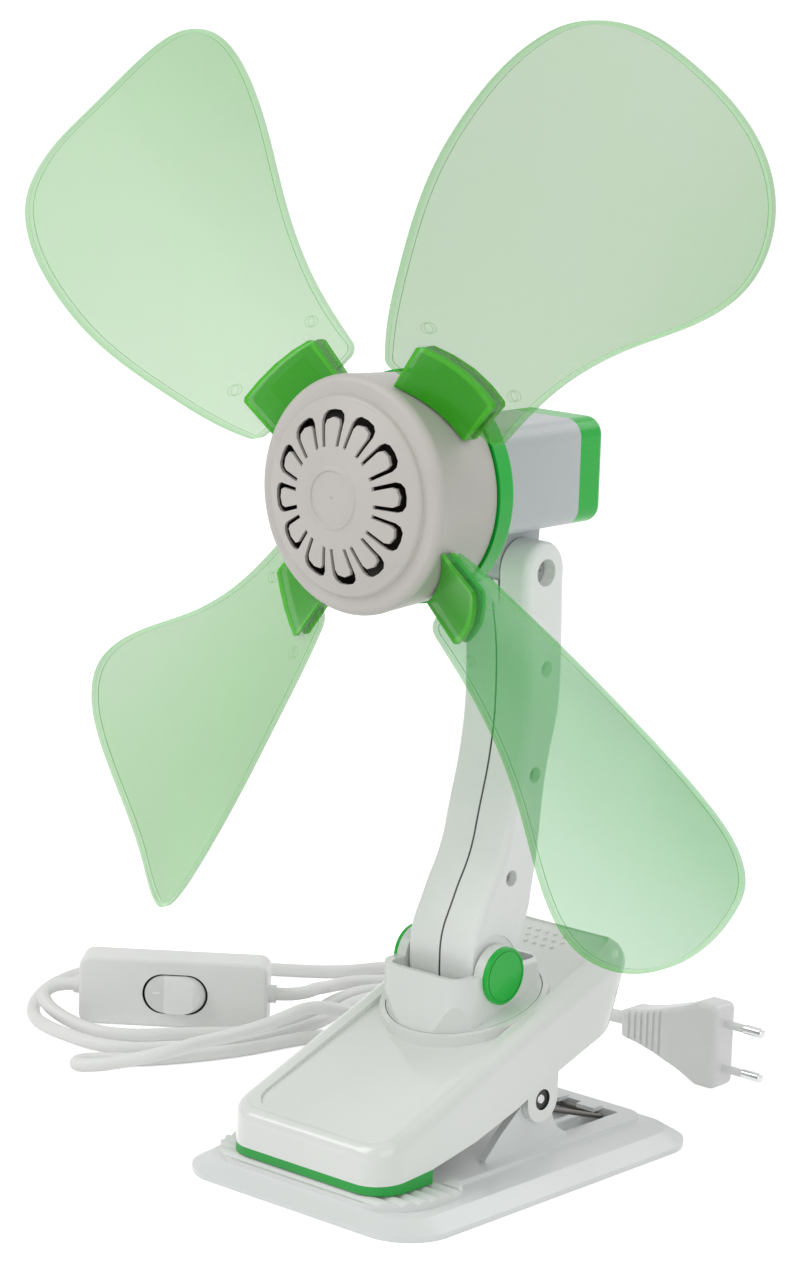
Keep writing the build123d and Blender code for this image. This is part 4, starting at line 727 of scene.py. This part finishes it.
# ------------------------------------------------------------------ lead
@dataclass
class Lead:
    """The round lead in two lengths: fan to switch, switch to plug."""

    radius: float = 2.8 * MM
    lift: float = 2.9 * MM
    high: float = 13.5 * MM
    switch_at: Point = (-184.8 * MM, 44.8 * MM, 14.5 * MM)
    switch_turn: float = math.radians(37.5)
    stub: float = 42.5 * MM
    fan_length: float = 0.93
    plug_length: float = 0.338

    def from_switch(self, along: float) -> Point:
        """Point on the switch's long axis, along it from its middle."""
        return (self.switch_at[0] + along * math.cos(self.switch_turn),
                self.switch_at[1] + along * math.sin(self.switch_turn), self.switch_at[2])

    def fan_route(self) -> List[Point]:
        """Points from the base to the switch, through the loops, in metres."""
        f, h = self.lift / MM, self.high / MM
        route = [
            (-63.5, 62.0, 5.4), (-76.5, 62.0, 4.6), (-94.0, 68.0, f + 0.3), (-109.0, 78.0, f),
            (-124.0, 70.0, f), (-128.8, 53.0, f), (-131.5, 36.5, f), (-137.0, 20.5, f), (-144.0, 5.5, f),
            (-152.5, -8.5, f), (-162.0, -18.0, f), (-168.5, -25.0, f), (-165.0, -32.5, f + 0.3),
            (-155.0, -29.0, 4.4), (-144.0, -21.0, 7.4), (-134.5, -12.0, 10.6), (-128.5, 0.5, h),
            (-126.2, 17.0, h), (-126.0, 34.0, h), (-128.2, 52.0, h), (-131.6, 69.0, h),
            (-132.0, 84.0, h - 3.6), (-126.0, 97.0, 5.6), (-118.0, 109.0, f), (-119.0, 126.0, f),
            (-132.0, 136.0, f), (-145.5, 128.0, f), (-146.0, 113.0, f), (-142.0, 99.0, f),
            (-137.8, 84.0, f), (-136.0, 68.0, f), (-136.6, 51.5, f), (-140.5, 36.0, f), (-147.5, 21.0, f),
            (-156.5, 7.0, f), (-168.0, -3.0, f), (-181.0, -7.0, f), (-194.0, -6.6, f), (-207.0, -5.6, f),
            (-221.0, -1.4, f), (-234.5, 10.0, f), (-246.5, 27.0, f), (-254.5, 46.0, f), (-256.0, 66.0, f),
            (-247.5, 86.0, f), (-231.0, 103.0, f), (-211.0, 119.0, f), (-193.0, 131.5, f),
            (-179.5, 144.5, f), (-173.0, 161.0, f), (-163.5, 175.5, f), (-148.0, 172.5, f),
            (-147.0, 157.5, f), (-158.5, 147.5, f), (-165.5, 134.0, f + 0.8), (-163.0, 118.5, 5.6),
            (-155.5, 106.0, 9.2), (-149.5, 93.0, 12.6), (-144.6, 83.5, 14.2),
        ]
        metres = [(x * MM, y * MM, z * MM) for x, y, z in route]
        return metres + [self.from_switch(self.stub + 6.0 * MM), self.from_switch(self.stub)]

    def plug_route(self) -> List[Point]:
        """Points from the switch to the plug, in metres."""
        f = self.lift / MM
        route = [
            (-226.5, 7.6, 11.2), (-219.0, 4.6, 7.2), (-208.5, 5.4, 4.0), (-196.0, 4.8, f),
            (-184.0, 7.6, f), (-174.0, 15.5, f), (-166.5, 27.0, f), (-157.0, 38.0, f), (-147.6, 49.0, f),
            (-143.4, 63.0, f), (-144.8, 80.0, f), (-149.5, 96.0, f), (-154.0, 112.0, f),
            (-155.2, 127.0, f), (-149.5, 140.0, f), (-136.5, 148.0, f), (-119.0, 150.5, f),
            (-100.0, 149.5, f), (-82.0, 146.5, 4.4), (-65.0, 145.0, 9.4), (-49.0, 145.6, 14.6),
            (-34.0, 145.0, 17.4), (-22.0, 145.0, 17.4),
        ]
        metres = [(x * MM, y * MM, z * MM) for x, y, z in route]
        return [self.from_switch(-self.stub), self.from_switch(-self.stub - 7.0 * MM)] + metres

    def tube(self, name: str, route: List[Point]) -> bpy.types.Object:
        """Round lead on a smooth spline.

        Args:
            name: the piece's name.
            route: control points in metres.

        Returns:
            The curve object.
        """
        curve = bpy.data.curves.new(name, "CURVE")
        curve.dimensions = "3D"
        curve.resolution_u = 8
        curve.bevel_depth = self.radius
        curve.bevel_resolution = 5
        curve.use_fill_caps = True
        spline = curve.splines.new("NURBS")
        spline.points.add(len(route) - 1)
        for point, place in zip(spline.points, route):
            point.co = (*place, 1.0)
        spline.order_u = 3
        spline.use_endpoint_u = True
        piece = bpy.data.objects.new(name, curve)
        bpy.context.scene.collection.objects.link(piece)
        return piece

    def build(self, wardrobe: Wardrobe) -> None:
        """Args:
            wardrobe: the finishes.
        """
        fan = self.tube("lead_fan", self.fan_route())
        plug = self.tube("lead_plug", self.plug_route())
        for piece, node in ((fan, "cord_fan"), (plug, "cord_plug")):
            wardrobe.dress(piece, Finish.CORD)
            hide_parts(node)
            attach(piece, "clip_base")
        self.fan_route()[0]
        self.plug_route()[0]
        LOG.info("lead laid in two lengths")


# ------------------------------------------------------------------ studio
@dataclass
class Studio:
    """Pale floor, white surround, soft lamps and the photograph's camera."""

    azimuth: float = math.radians(41.28)
    elevation: float = math.radians(11.6)
    roll: float = math.radians(1.83)
    distance: float = 1.40937
    focal_px: float = 3872.18
    height_px: float = 1272.0
    target: Point = (-0.00232, -0.02809, 0.20398)
    sensor: float = 24.0
    clip: Tuple[float, float] = (0.05, 50.0)
    paper: Colour = (0.92, 0.92, 0.92)
    white: Colour = (1.0, 1.0, 1.0)
    lift: float = 0.62
    room: float = 0.52
    aim: Point = (0.0, 0.0, 0.2)
    lamps: List[Tuple[str, Point, float, float]] = field(default_factory=lambda: [
        ("key", (-1.1, -1.6, 1.9), 1.5, 20.0),
        ("fill", (1.9, -1.3, 1.1), 1.6, 9.0),
        ("back", (0.5, 1.7, 1.6), 1.2, 8.0),
    ])

    def camera(self) -> None:
        """Place the camera where the photograph was taken from."""
        sa, ca = math.sin(self.azimuth), math.cos(self.azimuth)
        se, ce = math.sin(self.elevation), math.cos(self.elevation)
        back = Vector((sa * ce, -ca * ce, se))
        right = Vector((ca, sa, 0.0))
        up = back.cross(right)
        cr, sr = math.cos(self.roll), math.sin(self.roll)
        across, over = right * cr + up * sr, up * cr - right * sr
        data = bpy.data.cameras.new("photo_camera")
        data.sensor_fit = "VERTICAL"
        data.sensor_height = self.sensor
        data.sensor_width = self.sensor
        data.lens = self.focal_px / self.height_px * self.sensor
        data.clip_start, data.clip_end = self.clip
        camera = bpy.data.objects.new("photo_camera", data)
        place = Vector(self.target) + back * self.distance
        camera.matrix_world = Matrix.Translation(place) @ Matrix((across, over, back)).transposed().to_4x4()
        bpy.context.scene.collection.objects.link(camera)
        bpy.context.scene.camera = camera

    def floor(self) -> None:
        """Pale floor that keeps the soft shadow and fades to white."""
        mesh = bpy.data.meshes.new("floor")
        bm = bmesh.new()
        bmesh.ops.create_grid(bm, x_segments=1, y_segments=1, size=14.0)
        bm.to_mesh(mesh)
        bm.free()
        floor = bpy.data.objects.new("floor", mesh)
        bpy.context.scene.collection.objects.link(floor)
        g = Graph("floor_white")
        path = g.node("ShaderNodeLightPath")
        seen = path[0].most(path[3]).most(path[6])
        matt = g.node("ShaderNodeBsdfDiffuse", None, {"Color": (*self.paper, 1.0)})[0]
        shown = {"Color": (*self.white, 1.0), "Strength": seen * self.lift}
        glow = g.node("ShaderNodeEmission", None, shown)[0]
        both = g.node("ShaderNodeAddShader", None, [matt, glow])[0]
        g.node("ShaderNodeOutputMaterial", None, [both])
        mesh.materials.append(g.material)

    def world(self) -> None:
        """White surround for the camera and the gloss, softer light on the object."""
        world = bpy.data.worlds.new("studio")
        world.use_nodes = True
        bpy.context.scene.world = world
        tree = world.node_tree
        tree.nodes.clear()
        path = tree.nodes.new("ShaderNodeLightPath")
        seen = path.outputs["Is Camera Ray"]
        for ray in ("Is Glossy Ray", "Is Transmission Ray"):
            either = tree.nodes.new("ShaderNodeMath")
            either.operation = "MAXIMUM"
            tree.links.new(seen, either.inputs[0])
            tree.links.new(path.outputs[ray], either.inputs[1])
            seen = either.outputs[0]
        soft = tree.nodes.new("ShaderNodeBackground")
        soft.inputs[0].default_value = (*self.white, 1.0)
        soft.inputs[1].default_value = self.room
        white = tree.nodes.new("ShaderNodeBackground")
        white.inputs[0].default_value = (*self.white, 1.0)
        white.inputs[1].default_value = 1.0
        mix = tree.nodes.new("ShaderNodeMixShader")
        tree.links.new(seen, mix.inputs[0])
        tree.links.new(soft.outputs[0], mix.inputs[1])
        tree.links.new(white.outputs[0], mix.inputs[2])
        out = tree.nodes.new("ShaderNodeOutputWorld")
        tree.links.new(mix.outputs[0], out.inputs[0])

    def light(self) -> None:
        """Soft square lamps."""
        aim = Vector(self.aim)
        for name, place, size, power in self.lamps:
            data = bpy.data.lights.new(name, "AREA")
            data.size = size
            data.energy = power
            lamp = bpy.data.objects.new(name, data)
            lamp.location = place
            lamp.rotation_euler = (aim - Vector(place)).to_track_quat("-Z", "Y").to_euler()
            bpy.context.scene.collection.objects.link(lamp)

    def build(self) -> None:
        """Make the whole studio."""
        self.camera()
        self.floor()
        self.world()
        self.light()
        bpy.context.scene.view_settings.view_transform = "Standard"


def main() -> None:
    """Load the frame, dress it and add the pieces."""
    logging.basicConfig(level=logging.INFO, format="%(name)s: %(message)s")
    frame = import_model()
    studio = Studio()
    studio.build()
    wardrobe = Wardrobe(frame)
    wardrobe.dress_nodes()
    ClipSpring().build(wardrobe)
    Lead().build(wardrobe)


if __name__ == "__main__":
    main()
